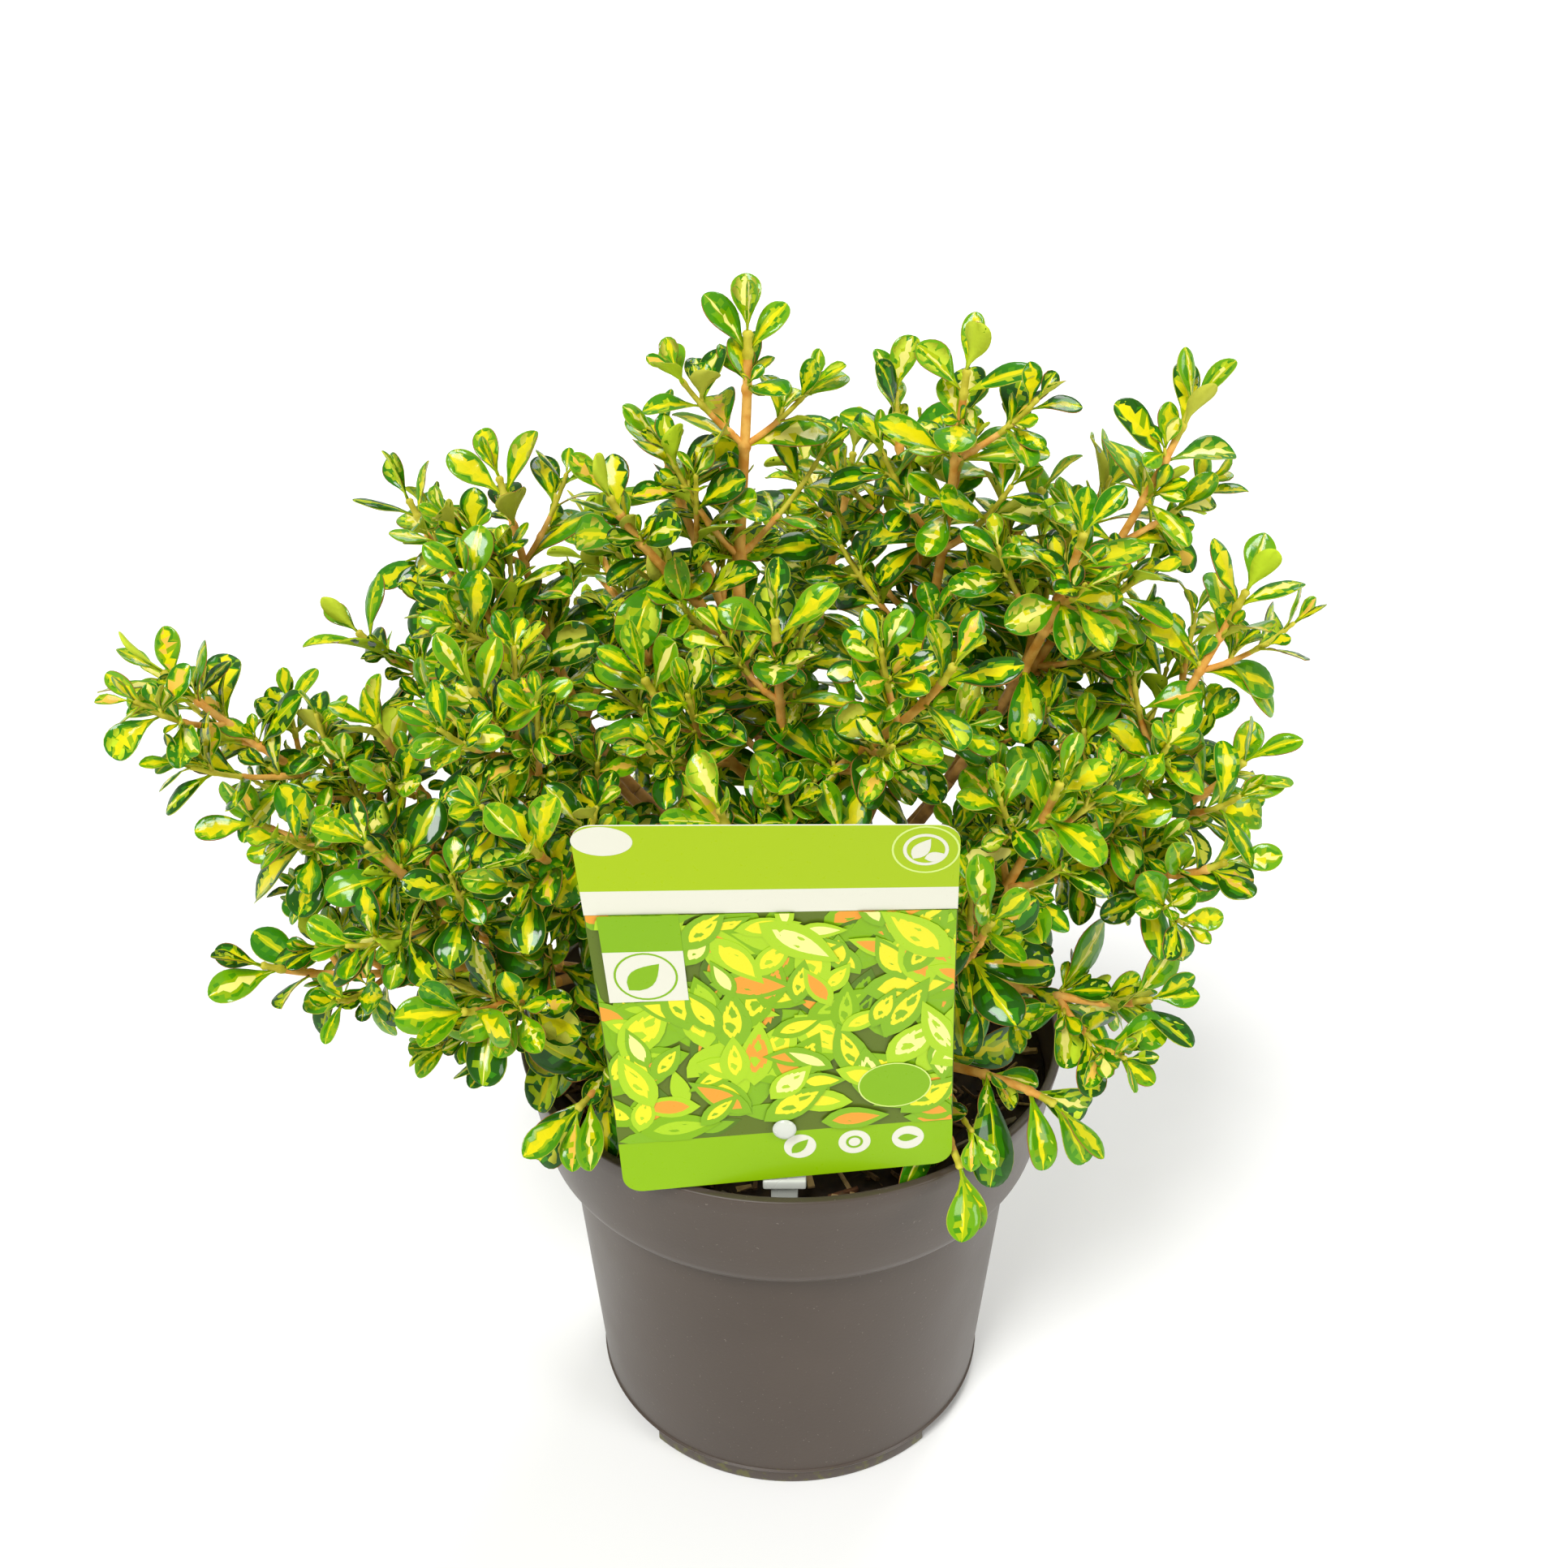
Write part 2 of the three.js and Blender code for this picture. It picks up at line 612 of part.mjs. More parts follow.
function box(width, depth, height, centre) {
  return solidOf(new THREE.BoxGeometry(width, depth, height).translate(...centre));
}

function pot() {
  const inner = (radius) => radius - POT_WALL;
  const shell = solidOf(turned([
    [0, 0],
    [FOOT_RADIUS, 0],
    [BODY_RADIUS_LOW, FOOT_HEIGHT],
    [BODY_RADIUS_HIGH, BODY_HEIGHT],
    SHOULDER,
    [COLLAR_RADIUS_LOW, COLLAR_HEIGHT],
    [RIM_RADIUS, POT_HEIGHT - RIM_ROUNDING],
    [RIM_RADIUS - RIM_ROUNDING, POT_HEIGHT],
    [RIM_RADIUS - RIM_WIDTH, POT_HEIGHT],
    [RIM_RADIUS - RIM_WIDTH, POT_HEIGHT - RIM_WIDTH],
    [inner(COLLAR_RADIUS_LOW), COLLAR_HEIGHT + SHOULDER_LIFT],
    [inner(SHOULDER[0]), SHOULDER[1] + SHOULDER_LIFT],
    [inner(BODY_RADIUS_HIGH), BODY_HEIGHT + SHOULDER_LIFT],
    [inner(BODY_RADIUS_LOW), POT_FLOOR],
    [0, POT_FLOOR],
  ]));
  const cutouts = [0, Math.PI].map((middle) => {
    const span = THREE.MathUtils.degToRad(CUTOUT_SPAN);
    const ring = new THREE.Shape();
    ring.absarc(0, 0, RIM_RADIUS, middle - span / 2, middle + span / 2, false);
    ring.absarc(0, 0, FOOT_RADIUS - CUTOUT_DEPTH, middle + span / 2, middle - span / 2, true);
    const settings = {
      depth: 2 * FOOT_HEIGHT,
      bevelEnabled: false,
      curveSegments: CUTOUT_SEGMENTS,
    };
    return solidOf(new THREE.ExtrudeGeometry(ring, settings).translate(0, 0, -FOOT_HEIGHT));
  });
  return fromManifold(cutouts.reduce((left, cut) => left.subtract(cut), shell));
}

// The stake's post, made larger by a margin where it cuts its own socket in the soil
function post(margin) {
  const stud = onCard(...STUD_AT);
  const top = stud.z + STAKE_ABOVE_STUD;
  const foot = SOIL_EDGE - STAKE_IN_SOIL - margin;
  const middle = [stud.x, STAKE_FRONT + STAKE_THICKNESS / 2, (top + foot) / 2];
  return box(STAKE_WIDTH + 2 * margin, STAKE_THICKNESS + 2 * margin, top - foot, middle);
}

// A round pin through the card at the stud, from one depth to another
function pin(radius, from, to, sides) {
  const stud = onCard(...STUD_AT);
  const geometry = new THREE.CylinderGeometry(radius, radius, to - from, sides);
  return solidOf(geometry.translate(stud.x, (from + to) / 2, stud.z));
}

function stake() {
  const stud = onCard(...STUD_AT);
  const headBack = stud.y - CARD_THICKNESS / 2 - STUD_HEAD_GAP;
  const headFront = headBack - STUD_HEAD_THICKNESS;
  const bar = [stud.x, STAKE_FRONT - BAR_FORWARD + BAR_DEPTH / 2, BAR_LEVEL];
  return fromManifold(fuse([
    post(0),
    pin(STUD_RADIUS, headFront, STAKE_FRONT + STUD_SUNK, STUD_SIDES),
    pin(STUD_HEAD_RADIUS, headFront, headBack, STUD_HEAD_SIDES),
    box(BAR_WIDTH, BAR_DEPTH, BAR_HEIGHT, bar),
  ]));
}

function soil() {
  const inner = (radius) => radius - POT_WALL - SOIL_GAP;
  const lift = SHOULDER_LIFT + GAP;
  const share = (SOIL_EDGE - COLLAR_HEIGHT - lift) / (POT_HEIGHT - COLLAR_HEIGHT - lift);
  const filling = solidOf(turned([
    [0, POT_FLOOR + GAP],
    [inner(BODY_RADIUS_LOW), POT_FLOOR + GAP],
    [inner(BODY_RADIUS_HIGH), BODY_HEIGHT + lift],
    [inner(SHOULDER[0]), SHOULDER[1] + lift],
    [inner(COLLAR_RADIUS_LOW), COLLAR_HEIGHT + lift],
    [mix(inner(COLLAR_RADIUS_LOW), RIM_RADIUS - RIM_WIDTH - SOIL_GAP, share), SOIL_EDGE],
    [SOIL_FLAT_RADIUS, SOIL_HEIGHT],
    [0, SOIL_HEIGHT],
  ]));
  return fromManifold(filling.subtract(post(GAP)));
}

// The card's rows from its bottom edge to its top: height from the middle, and half width
function cardRows() {
  const [w, h] = [CARD_WIDTH / 2 - CARD_CORNER, CARD_HEIGHT / 2 - CARD_CORNER];
  const corner = Array.from({ length: CARD_CORNER_STEPS }, (_, k) => {
    const turn = (Math.PI / 2) * ((k + 1) / CARD_CORNER_STEPS);
    return [h + CARD_CORNER * Math.sin(turn), w + CARD_CORNER * Math.cos(turn)];
  });
  const below = corner.map(([up, half]) => [-up, half]).reverse();
  const middle = taper(-h, h, CARD_ROWS + 1).map((up) => [up, CARD_WIDTH / 2]);
  return [...below, ...middle, ...corner];
}

function card() {
  const thick = CARD_THICKNESS / 2;
  const rings = cardRows().map(([up, half]) => [
    onCard(-half, up, -thick),
    onCard(half, up, -thick),
    onCard(half, up, thick),
    onCard(-half, up, thick),
  ]);
  const hole = STUD_RADIUS + GAP + STUD_HOLE_EASE;
  const { y } = onCard(...STUD_AT);
  const sheet = toManifold(...loft(rings, [2]));
  return fromManifold(sheet.subtract(pin(hole, y - STUD_SUNK, y + STUD_SUNK, STUD_SIDES)));
}

function mainStem() {
  const path = STEM_RINGS.map(([share]) => stemPoint(share));
  return geometryOf(...limb(path, STEM_RINGS.map(([, radius]) => radius), STEM_SIDES));
}

const object = new THREE.Group();
object.name = 'coprosma_in_pot';
object.add(mesh('pot', pot(), 'pot'));
object.add(mesh('soil', soil(), 'soil'));
object.add(mesh('card', card(), 'card'));
object.add(mesh('stake', stake(), 'stake'));
object.add(mesh('main_stem', mainStem(), 'stem'));

const skeletons = LIMBS.map(skeleton);
LIMBS.forEach((spec, k) => {
  const { bough } = skeletons[k];
  const radii = taper(BOUGH_BASE_RADIUS, BOUGH_END_RADIUS, bough.length);
  object.add(mesh(`bough_${spec.name}`, geometryOf(...limb(bough, radii, BOUGH_SIDES)), 'bough'));
});
LIMBS.forEach((spec, k) => {
  const solid = foliage(k, skeletons, stream(SEED + k));
  object.add(mesh(`foliage_${spec.name}`, fromManifold(solid), 'foliage'));
});

export default object;
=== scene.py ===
"""A lemon and lime coprosma in its nursery pot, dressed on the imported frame.

Lengths are in millimetres until a mesh is made, which is in metres.
"""
import math
from collections import namedtuple
from itertools import product

import bmesh
import bpy
import numpy as np
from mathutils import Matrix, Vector


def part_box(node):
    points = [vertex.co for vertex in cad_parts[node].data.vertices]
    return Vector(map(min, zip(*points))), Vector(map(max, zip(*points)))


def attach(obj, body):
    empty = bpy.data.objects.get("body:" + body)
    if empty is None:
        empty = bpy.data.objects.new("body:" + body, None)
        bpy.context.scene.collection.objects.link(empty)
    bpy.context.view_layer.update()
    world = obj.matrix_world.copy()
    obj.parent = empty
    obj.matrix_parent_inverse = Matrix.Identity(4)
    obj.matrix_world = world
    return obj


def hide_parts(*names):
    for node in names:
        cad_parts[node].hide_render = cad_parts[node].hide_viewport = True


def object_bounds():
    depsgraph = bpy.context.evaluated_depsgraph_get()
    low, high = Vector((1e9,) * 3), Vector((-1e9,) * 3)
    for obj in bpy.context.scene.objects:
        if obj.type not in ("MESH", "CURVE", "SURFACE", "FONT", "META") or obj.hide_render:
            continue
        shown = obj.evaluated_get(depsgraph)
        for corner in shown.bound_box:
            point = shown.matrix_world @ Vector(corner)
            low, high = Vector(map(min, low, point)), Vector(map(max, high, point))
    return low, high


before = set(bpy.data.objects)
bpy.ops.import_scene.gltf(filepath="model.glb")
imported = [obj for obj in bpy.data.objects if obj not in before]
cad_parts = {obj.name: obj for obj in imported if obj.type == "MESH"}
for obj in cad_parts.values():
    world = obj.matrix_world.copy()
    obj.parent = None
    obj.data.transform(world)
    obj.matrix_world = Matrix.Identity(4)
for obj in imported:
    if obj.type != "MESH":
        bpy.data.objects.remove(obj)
cad_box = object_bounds()

MM = 0.001
UP = np.array([0.0, 0.0, 1.0])
SIDEWAYS = np.array([1.0, 0.0, 0.0])
ASKEW = (0.31, 0.95, 0.1)  # a direction that no limb follows
NEARLY_UPRIGHT = 0.97
PHASES = 6.28  # random phases are drawn from 0 to this
GAP = 0.3
SEED = 7

# Sizes shared with the solids
POT_WALL = 1.6
POT_FLOOR = 8.4
FOOT_RADIUS = 71.5
FOOT_HEIGHT = 6.4
BODY_RADIUS_LOW = 71.9
BODY_RADIUS_HIGH = 80.4
BODY_HEIGHT = 109.0
SHOULDER = (85.4, 112.6)
COLLAR_RADIUS_LOW = 88.8
COLLAR_HEIGHT = 117.5
SHOULDER_LIFT = 0.8
RIM_RADIUS = 95.0
RIM_WIDTH = 3.0
POT_HEIGHT = 154.0
CUTOUT_DEPTH = 5.0
CUTOUT_SPAN = 90.0

SOIL_EDGE = 138.6
SOIL_HEIGHT = 141.0
SOIL_FLAT_RADIUS = 24.0

STEM_FOOT = np.array([-3.0, 5.0])
STEM_LEAN = np.array([5.0, -4.0])
STEM_LENGTH = 60.0
STEM_RINGS = ((0, 11.5), (0.05, 9.4), (0.14, 7.6), (0.35, 6.7), (0.7, 6.0), (1, 5.4))

BOUGH_BASE_RADIUS = 2.3
BOUGH_END_RADIUS = 1.9
BOUGH_STEPS = 5
BOUGH_SHARE = 0.36
TWIG_STEPS = 6
BRANCH_STEP = 1
BEND = 0.34
TIP_LEAF_REACH = 15.0

MASS_ROOM = 0.7
LIMB_ROOM = 3.2
THING_ROOM = 1.6
CARD_ROOM = 3.0

CARD_WIDTH = 101.0
CARD_HEIGHT = 140.0
CARD_THICKNESS = 0.8
CARD_CORNER = 6.0
CARD_CENTRE = np.array([-4.5, -94.8, 227.0])
CARD_ROLL = math.radians(2.9)
CARD_LEAN = 12.6
CARD_BOW = 4.2
CARD_TWIST = 4.1
STUD_AT = (-0.3, -48.5)
STAKE_FRONT = -85.2
STAKE_WIDTH = 8.4
STAKE_THICKNESS = 2.2
STAKE_ABOVE_STUD = 5.0
BAR_WIDTH = 13.4
BAR_HEIGHT = 3.6
BAR_DEPTH = 4.4
BAR_LEVEL = 154.3
BAR_FORWARD = 2.2

# Limbs: name, height of the limb's foot on the main stem as a share of its length, how steeply
# it leaves the stem, how much its shoots turn up, and the bearing, reach and height of each
# shoot's furthest leaf.
LIMBS = (
    ("leader", 1, 82, 0.5, ((120, 27, 405), (187, 60, 362), (150, 50, 370))),
    ("spire", 0.93, 50, 0.6, ((4, 52, 398), (62, 70, 376), (12, 84, 357))),
    ("centre", 0.9, 45, 0.5, ((262, 40, 338), (306, 84, 334), (222, 66, 320))),
    ("crest", 0.78, 45, 0.5, ((6, 125, 384), (346, 90, 356), (20, 112, 355))),
    ("shoulder", 0.86, 45, 0.5, ((155, 109, 352), (170, 155, 302), (178, 106, 332))),
    ("back", 0.84, 45, 0.5, ((92, 146, 292), (76, 98, 345))),
    ("back_left", 0.66, 38, 0.5, ((148, 166, 329), (141, 150, 245))),
    ("back_mid", 0.52, 38, 0.5, ((122, 148, 304), (106, 132, 232))),
    ("back_right", 0.66, 38, 0.5, ((47, 142, 316), (24, 140, 276))),
    ("front", 0.6, 38, 0.45, ((254, 83, 295), (284, 80, 288))),
    ("front_left", 0.64, 38, 0.45, ((226, 114, 282), (205, 108, 318))),
    ("right", 0.42, 30, 0.5, ((356, 143, 334), (350, 150, 282), (340, 150, 257))),
    ("front_right", 0.32, 30, 0.45, ((302, 110, 264), (332, 139, 214), (322, 102, 296))),
    ("left", 0.4, 30, 0.35, ((182, 206, 303), (189, 182, 258), (186, 136, 290))),
    ("left_front", 0.3, 30, 0.4, ((203, 146, 270), (219, 136, 222))),
    ("low_right", 0.2, 24, 0.3, ((8, 130, 222), (40, 142, 226))),
    ("low_left", 0.2, 24, 0.3, ((193, 187, 210), (168, 160, 214))),
    ("low_back", 0.2, 24, 0.3, ((76, 138, 208), (128, 142, 200))),
    ("rim_right", 0.18, 36, -0.3, ((318, 125, 172), (300, 113, 152))),
    ("rim_left", 0.18, 34, -0.2, ((229, 114, 170), (212, 120, 192))),
)

# Shoots that only show here: the spaces between their pairs of leaves and the lengths of their
# leaves, both from the tip back, the length at their foot with no leaves, and their radii
Shoot = namedtuple("Shoot", "kind spaces lengths bare base_radius tip_radius")
MAIN_SHOOT = Shoot("main", (5.5, 9.0, 11.5, 12.5, 13.5, 14.5, 15.0, 15.5),
                   (17, 21.5, 25, 27, 27.5, 28, 27, 26, 25), 12.0, 1.95, 1.15)
SIDE_SHOOT = Shoot("side", (4.0, 7.0, 9.0, 10.5, 11.0), (11, 16, 19.5, 21, 22, 22), 4.0, 1.15, 0.7)
SHOOT_STEPS = 26
LEADER_THICKNESS = 1.25
FIRST_LEAVES_AT = 0.4  # from the tip
LEAF_ANGLES = (26, 44, 60, 72, 80, 86, 89, 91, 93)  # degrees open from the twig, youngest first
YOUNG_PAIRS = 3
SPACE_CHANGE = (0.85, 1.2)
LENGTH_CHANGE = (0.84, 1.12)
TURN_CHANGE = 0.15
HAND_CHANGE = 0.2
SWELLINGS = ((-1.7, 1.0), (-0.5, 1.28), (0.6, 1.26), (1.6, 0.97))  # places and radii at a pair
SWELLING_ROOM = 2.2
TIP_SHRINK = 0.8

SIDE_FROM_PAIR = 3
SIDE_CHANCE = 0.62
SIDE_LENGTHS = (16.0, 52.0)
SIDE_GROWTH = 5.0  # further length for each pair of leaves above it
SIDE_LENGTH_CHANGE = (0.75, 1.1)
SIDE_TRIES = (1.0, 0.66, 0.42)
SHORTEST_SIDE = 12
SIDE_STEPS = 8
SIDE_TURN = 0.4
# How much a side twig sets off along its shoot, away from it, and up
SIDE_ALONG = (0.55, 0.9)
SIDE_OUT = (0.7, 1.0)
SIDE_UP = (0.1, 0.5)
AXIL_FROM_PAIR = 2
AXIL_CHANCE = 0.7
AXIL_SKIPS_PAIR = 0.3
AXIL_OUT = (0.7, 1.1)
AXIL_UP = 0.15
AXIL_LENGTHS = (2.0, 3.6)
AXIL_GROWTH = (0.2, 0.6)  # further length for each pair of leaves above it, up to the oldest
AXIL_OLDEST = 6
AXIL_LEAF_LENGTHS = (8.5, 13)
AXIL_LEAF_ANGLES = (22, 46)
AXIL_LEAF_CHANGE = (0.75, 1.25)
AXIL_RADII = (0.75, 0.65, 0.5)
AXIL_SPACING = 1.7

# How a leaf lies
LEAF_SPACING = 3.0
FULL_ROOM_LENGTH = 18  # shorter leaves need less room
LEAF_BOUGH_ROOM = 2.5
ANGLE_CHANGE = 10
TURN_FROM_LIGHT = (0.0, 0.55)
FACE_TWIG = 0.6
FACE_LIGHT = (0.45, 1.15)
FACE_OUT = 0.25
FACE_CHANGE = 0.2
DROOP = (0.12, 0.3)
TESTED_AT = np.array([[0.4], [0.7], [1.0]])  # shares of a leaf's length
REACH_PAST_LINE = 40.0
PAST_BOX = 2
CELL = 6.0
NEAR_CELLS = tuple(product((-1, 0, 1), repeat=3))
# How much further apart the leaves stand on some limbs than on the rest
OPENNESS = {
    "leader": 1.25, "spire": 1.12, "crest": 1.1, "shoulder": 1.02, "back_left": 1.05,
    "back_right": 1.1, "right": 1.08, "front_right": 1.05, "left": 1.05, "low_right": 1.2,
    "low_left": 1.12, "rim_right": 1.6, "rim_left": 1.3,
}
HANGING = {"rim_right": 0.75, "rim_left": 0.35}
HANGING_GROWTH = 1.3
CROWN_MIDDLE = np.array([-20.0, 12.0, 225.0])
CROWN_REACH = np.array([190.0, 130.0, 175.0])

Leaf = namedtuple("Leaf", "limb root axis face length young")
Twig = namedtuple("Twig", "path radii kind")


def unit(v):
    return v / np.linalg.norm(v, axis=-1, keepdims=True)


def polar(bearing, reach, height):
    turn = math.radians(bearing)
    return np.array([reach * math.cos(turn), reach * math.sin(turn), height])


def stem_point(share):
    x, y = STEM_FOOT + STEM_LEAN * share * share
    return np.array([x, y, SOIL_HEIGHT + GAP + STEM_LENGTH * share])


def stem_radius(share):
    return np.interp(share, *zip(*STEM_RINGS))


def bezier(handles, t):
    a, b, c, d = handles
    t = np.asarray(t, float)[..., None]
    s = 1 - t
    return s ** 3 * a + 3 * s * s * t * b + 3 * s * t * t * c + t ** 3 * d


def bezier_heading(handles, t):
    a, b, c, d = handles
    s = 1 - t
    return unit(s * s * (b - a) + 2 * s * t * (c - b) + t * t * (d - c))


def sweep(start, heading, end, turn):
    """A curve that leaves one point on a heading and turns up on its way to another."""
    span = np.linalg.norm(end - start)
    arrive = unit(unit(end - start) + UP * turn)
    return start, start + heading * span * BEND, end - arrive * span * BEND, end


def skeleton(name, at, pitch, turn, shoots):
    """The bough and the shoots of one limb, by the same rule as the solids."""
    tips = [polar(*shoot) for shoot in shoots]
    middle = sum(tips) / len(tips)
    foot = stem_point(at)
    out = middle - foot
    out[2] = 0
    out = unit(out)
    pitch = math.radians(pitch)
    heading = out * math.cos(pitch) + UP * math.sin(pitch)
    if at == 1:
        upward = unit(foot - stem_point(STEM_RINGS[-2][0]))
        away = math.acos(float(np.clip(heading @ upward, -1, 1)))
        foot = foot + upward * (GAP + BOUGH_BASE_RADIUS * math.sin(away))
    else:
        foot = foot + out * (stem_radius(at) + GAP + BOUGH_BASE_RADIUS * math.sin(pitch))
    whole = sweep(foot, heading, middle, turn)
    bough = bezier(whole, np.linspace(0, BOUGH_SHARE, BOUGH_STEPS + 1))
    onward = bezier_heading(whole, BOUGH_SHARE)

    def reach_for(start, heading, tip):
        aim = unit(unit(tip - start) + UP * turn)
        return sweep(start, heading, tip - aim * TIP_LEAF_REACH, turn)

    first = reach_for(bough[-1] + onward * GAP, onward, tips[0])
    branch = bezier(first, BRANCH_STEP / TWIG_STEPS)
    others = [reach_for(branch, unit(onward + unit(tip - branch)), tip) for tip in tips[1:]]
    return {"name": name, "bough": bough, "curves": [first, *others]}


class Line:
    """A path that can be read by the distance along it."""

    def __init__(self, points):
        self.points = np.asarray(points, float)
        steps = np.linalg.norm(np.diff(self.points, axis=0), axis=1)
        self.along = np.concatenate([[0.0], np.cumsum(steps)])
        self.length = float(self.along[-1])

    def at(self, distance):
        """The point there, and the direction of the line."""
        distance = min(max(distance, 0.0), self.length)
        k = min(int(np.searchsorted(self.along, distance, side="right")) - 1,
                len(self.points) - 2)
        share = (distance - self.along[k]) / (self.along[k + 1] - self.along[k])
        step = self.points[k + 1] - self.points[k]
        return self.points[k] + step * share, unit(step)


def card_depth(across, up):
    """How far the card lies behind its middle at a place on it."""
    u, v = across / (CARD_WIDTH / 2), up / (CARD_HEIGHT / 2)
    return -CARD_LEAN * v - CARD_BOW * v * v - CARD_TWIST * u * v


# Room for twigs and leaves
class Room:
    """Says whether points keep clear of the pot, the card, the limbs and earlier leaves."""

    def __init__(self, skeletons):
        coarse = np.linspace(0, 1, TWIG_STEPS + 1)
        pieces = []
        for limb, bones in enumerate(skeletons):
            lines = [bones["bough"]] + [bezier(c, coarse) for c in bones["curves"]]
            for number, line in enumerate(lines):
                size = len(line) - 1
                pieces.append((line[:-1], line[1:], np.full(size, limb), np.full(size, number == 0)))
        self.starts, ends, self.limbs, self.is_bough = (np.concatenate(c) for c in zip(*pieces))
        self.steps = ends - self.starts
        self.squares = (self.steps ** 2).sum(1)
        self.low, self.high = (np.array(corner) / MM for corner in cad_box)
        self.leaves = {}

    def distances(self, points):
        offset = points[:, None, :] - self.starts
        share = np.clip((offset * self.steps).sum(2) / self.squares, 0, 1)
        return np.linalg.norm(offset - share[..., None] * self.steps, axis=2)

    def clear_of_things(self, points):
        """Whether points keep out of the pot and the potting mix, and on one side of the card."""
        reach = np.hypot(points[:, 0], points[:, 1])
        inside = reach < RIM_RADIUS - RIM_WIDTH - THING_ROOM
        floor = np.where(inside, SOIL_HEIGHT + THING_ROOM, POT_HEIGHT + THING_ROOM)
        floor = np.where(reach < RIM_RADIUS + THING_ROOM, floor, COLLAR_HEIGHT)
        if (points[:, 2] < floor).any():
            return False
        flat = points - CARD_CENTRE
        across = flat[:, 0] * math.cos(CARD_ROLL) + flat[:, 2] * math.sin(CARD_ROLL)
        upward = flat[:, 2] * math.cos(CARD_ROLL) - flat[:, 0] * math.sin(CARD_ROLL)
        behind = flat[:, 1] - card_depth(across, upward)
        level = ((np.abs(across) < CARD_WIDTH / 2 + THING_ROOM)
                 & (np.abs(upward) < CARD_HEIGHT / 2 + THING_ROOM))
        if (level & (np.abs(behind) < CARD_ROOM)).any():
            return False
        return not ((level & (behind < 0)).any() and (level & (behind > 0)).any())

    def in_own_space(self, points, limb):
        away = self.distances(points)
        mine = self.limbs == limb
        nearest = away[:, mine].min(1)
        others = away[:, ~mine].min(1)
        return bool((nearest < REACH_PAST_LINE).all() and (others > nearest + MASS_ROOM).all())

    def is_free(self, points, room=LIMB_ROOM):
        """Whether points keep clear of the things and the boughs, and near the solids' box."""
        near = (points >= self.low - PAST_BOX).all() and (points <= self.high + PAST_BOX).all()
        if not (near and self.clear_of_things(points)):
            return False
        return bool((self.distances(points)[:, self.is_bough] > room).all())

    def cell(self, point):
        return tuple((point // CELL).astype(int))

    def leaf_fits(self, points, room):
        for point in points:
            i, j, k = self.cell(point)
            for a, b, c in NEAR_CELLS:
                for other, other_room in self.leaves.get((i + a, j + b, k + c), ()):
                    gap = point - other
                    if gap @ gap < (room + other_room) ** 2 / 4:
                        return False
        return True

    def add_leaf(self, points, room):
        for point in points:
            self.leaves.setdefault(self.cell(point), []).append((point, room))


# Growing
def perpendicular(along, turn):
    first = unit(np.cross(ASKEW, along))
    second = np.cross(along, first)
    return first * math.cos(turn) + second * math.sin(turn)


def light_at(point):
    """The direction that leaves turn to: up and to the front, and to the back only at the back."""
    back = np.clip((point[1] - 75) / 60, 0, 1)
    return unit(np.array([0.0, -0.75 + 1.15 * back, 0.75]))


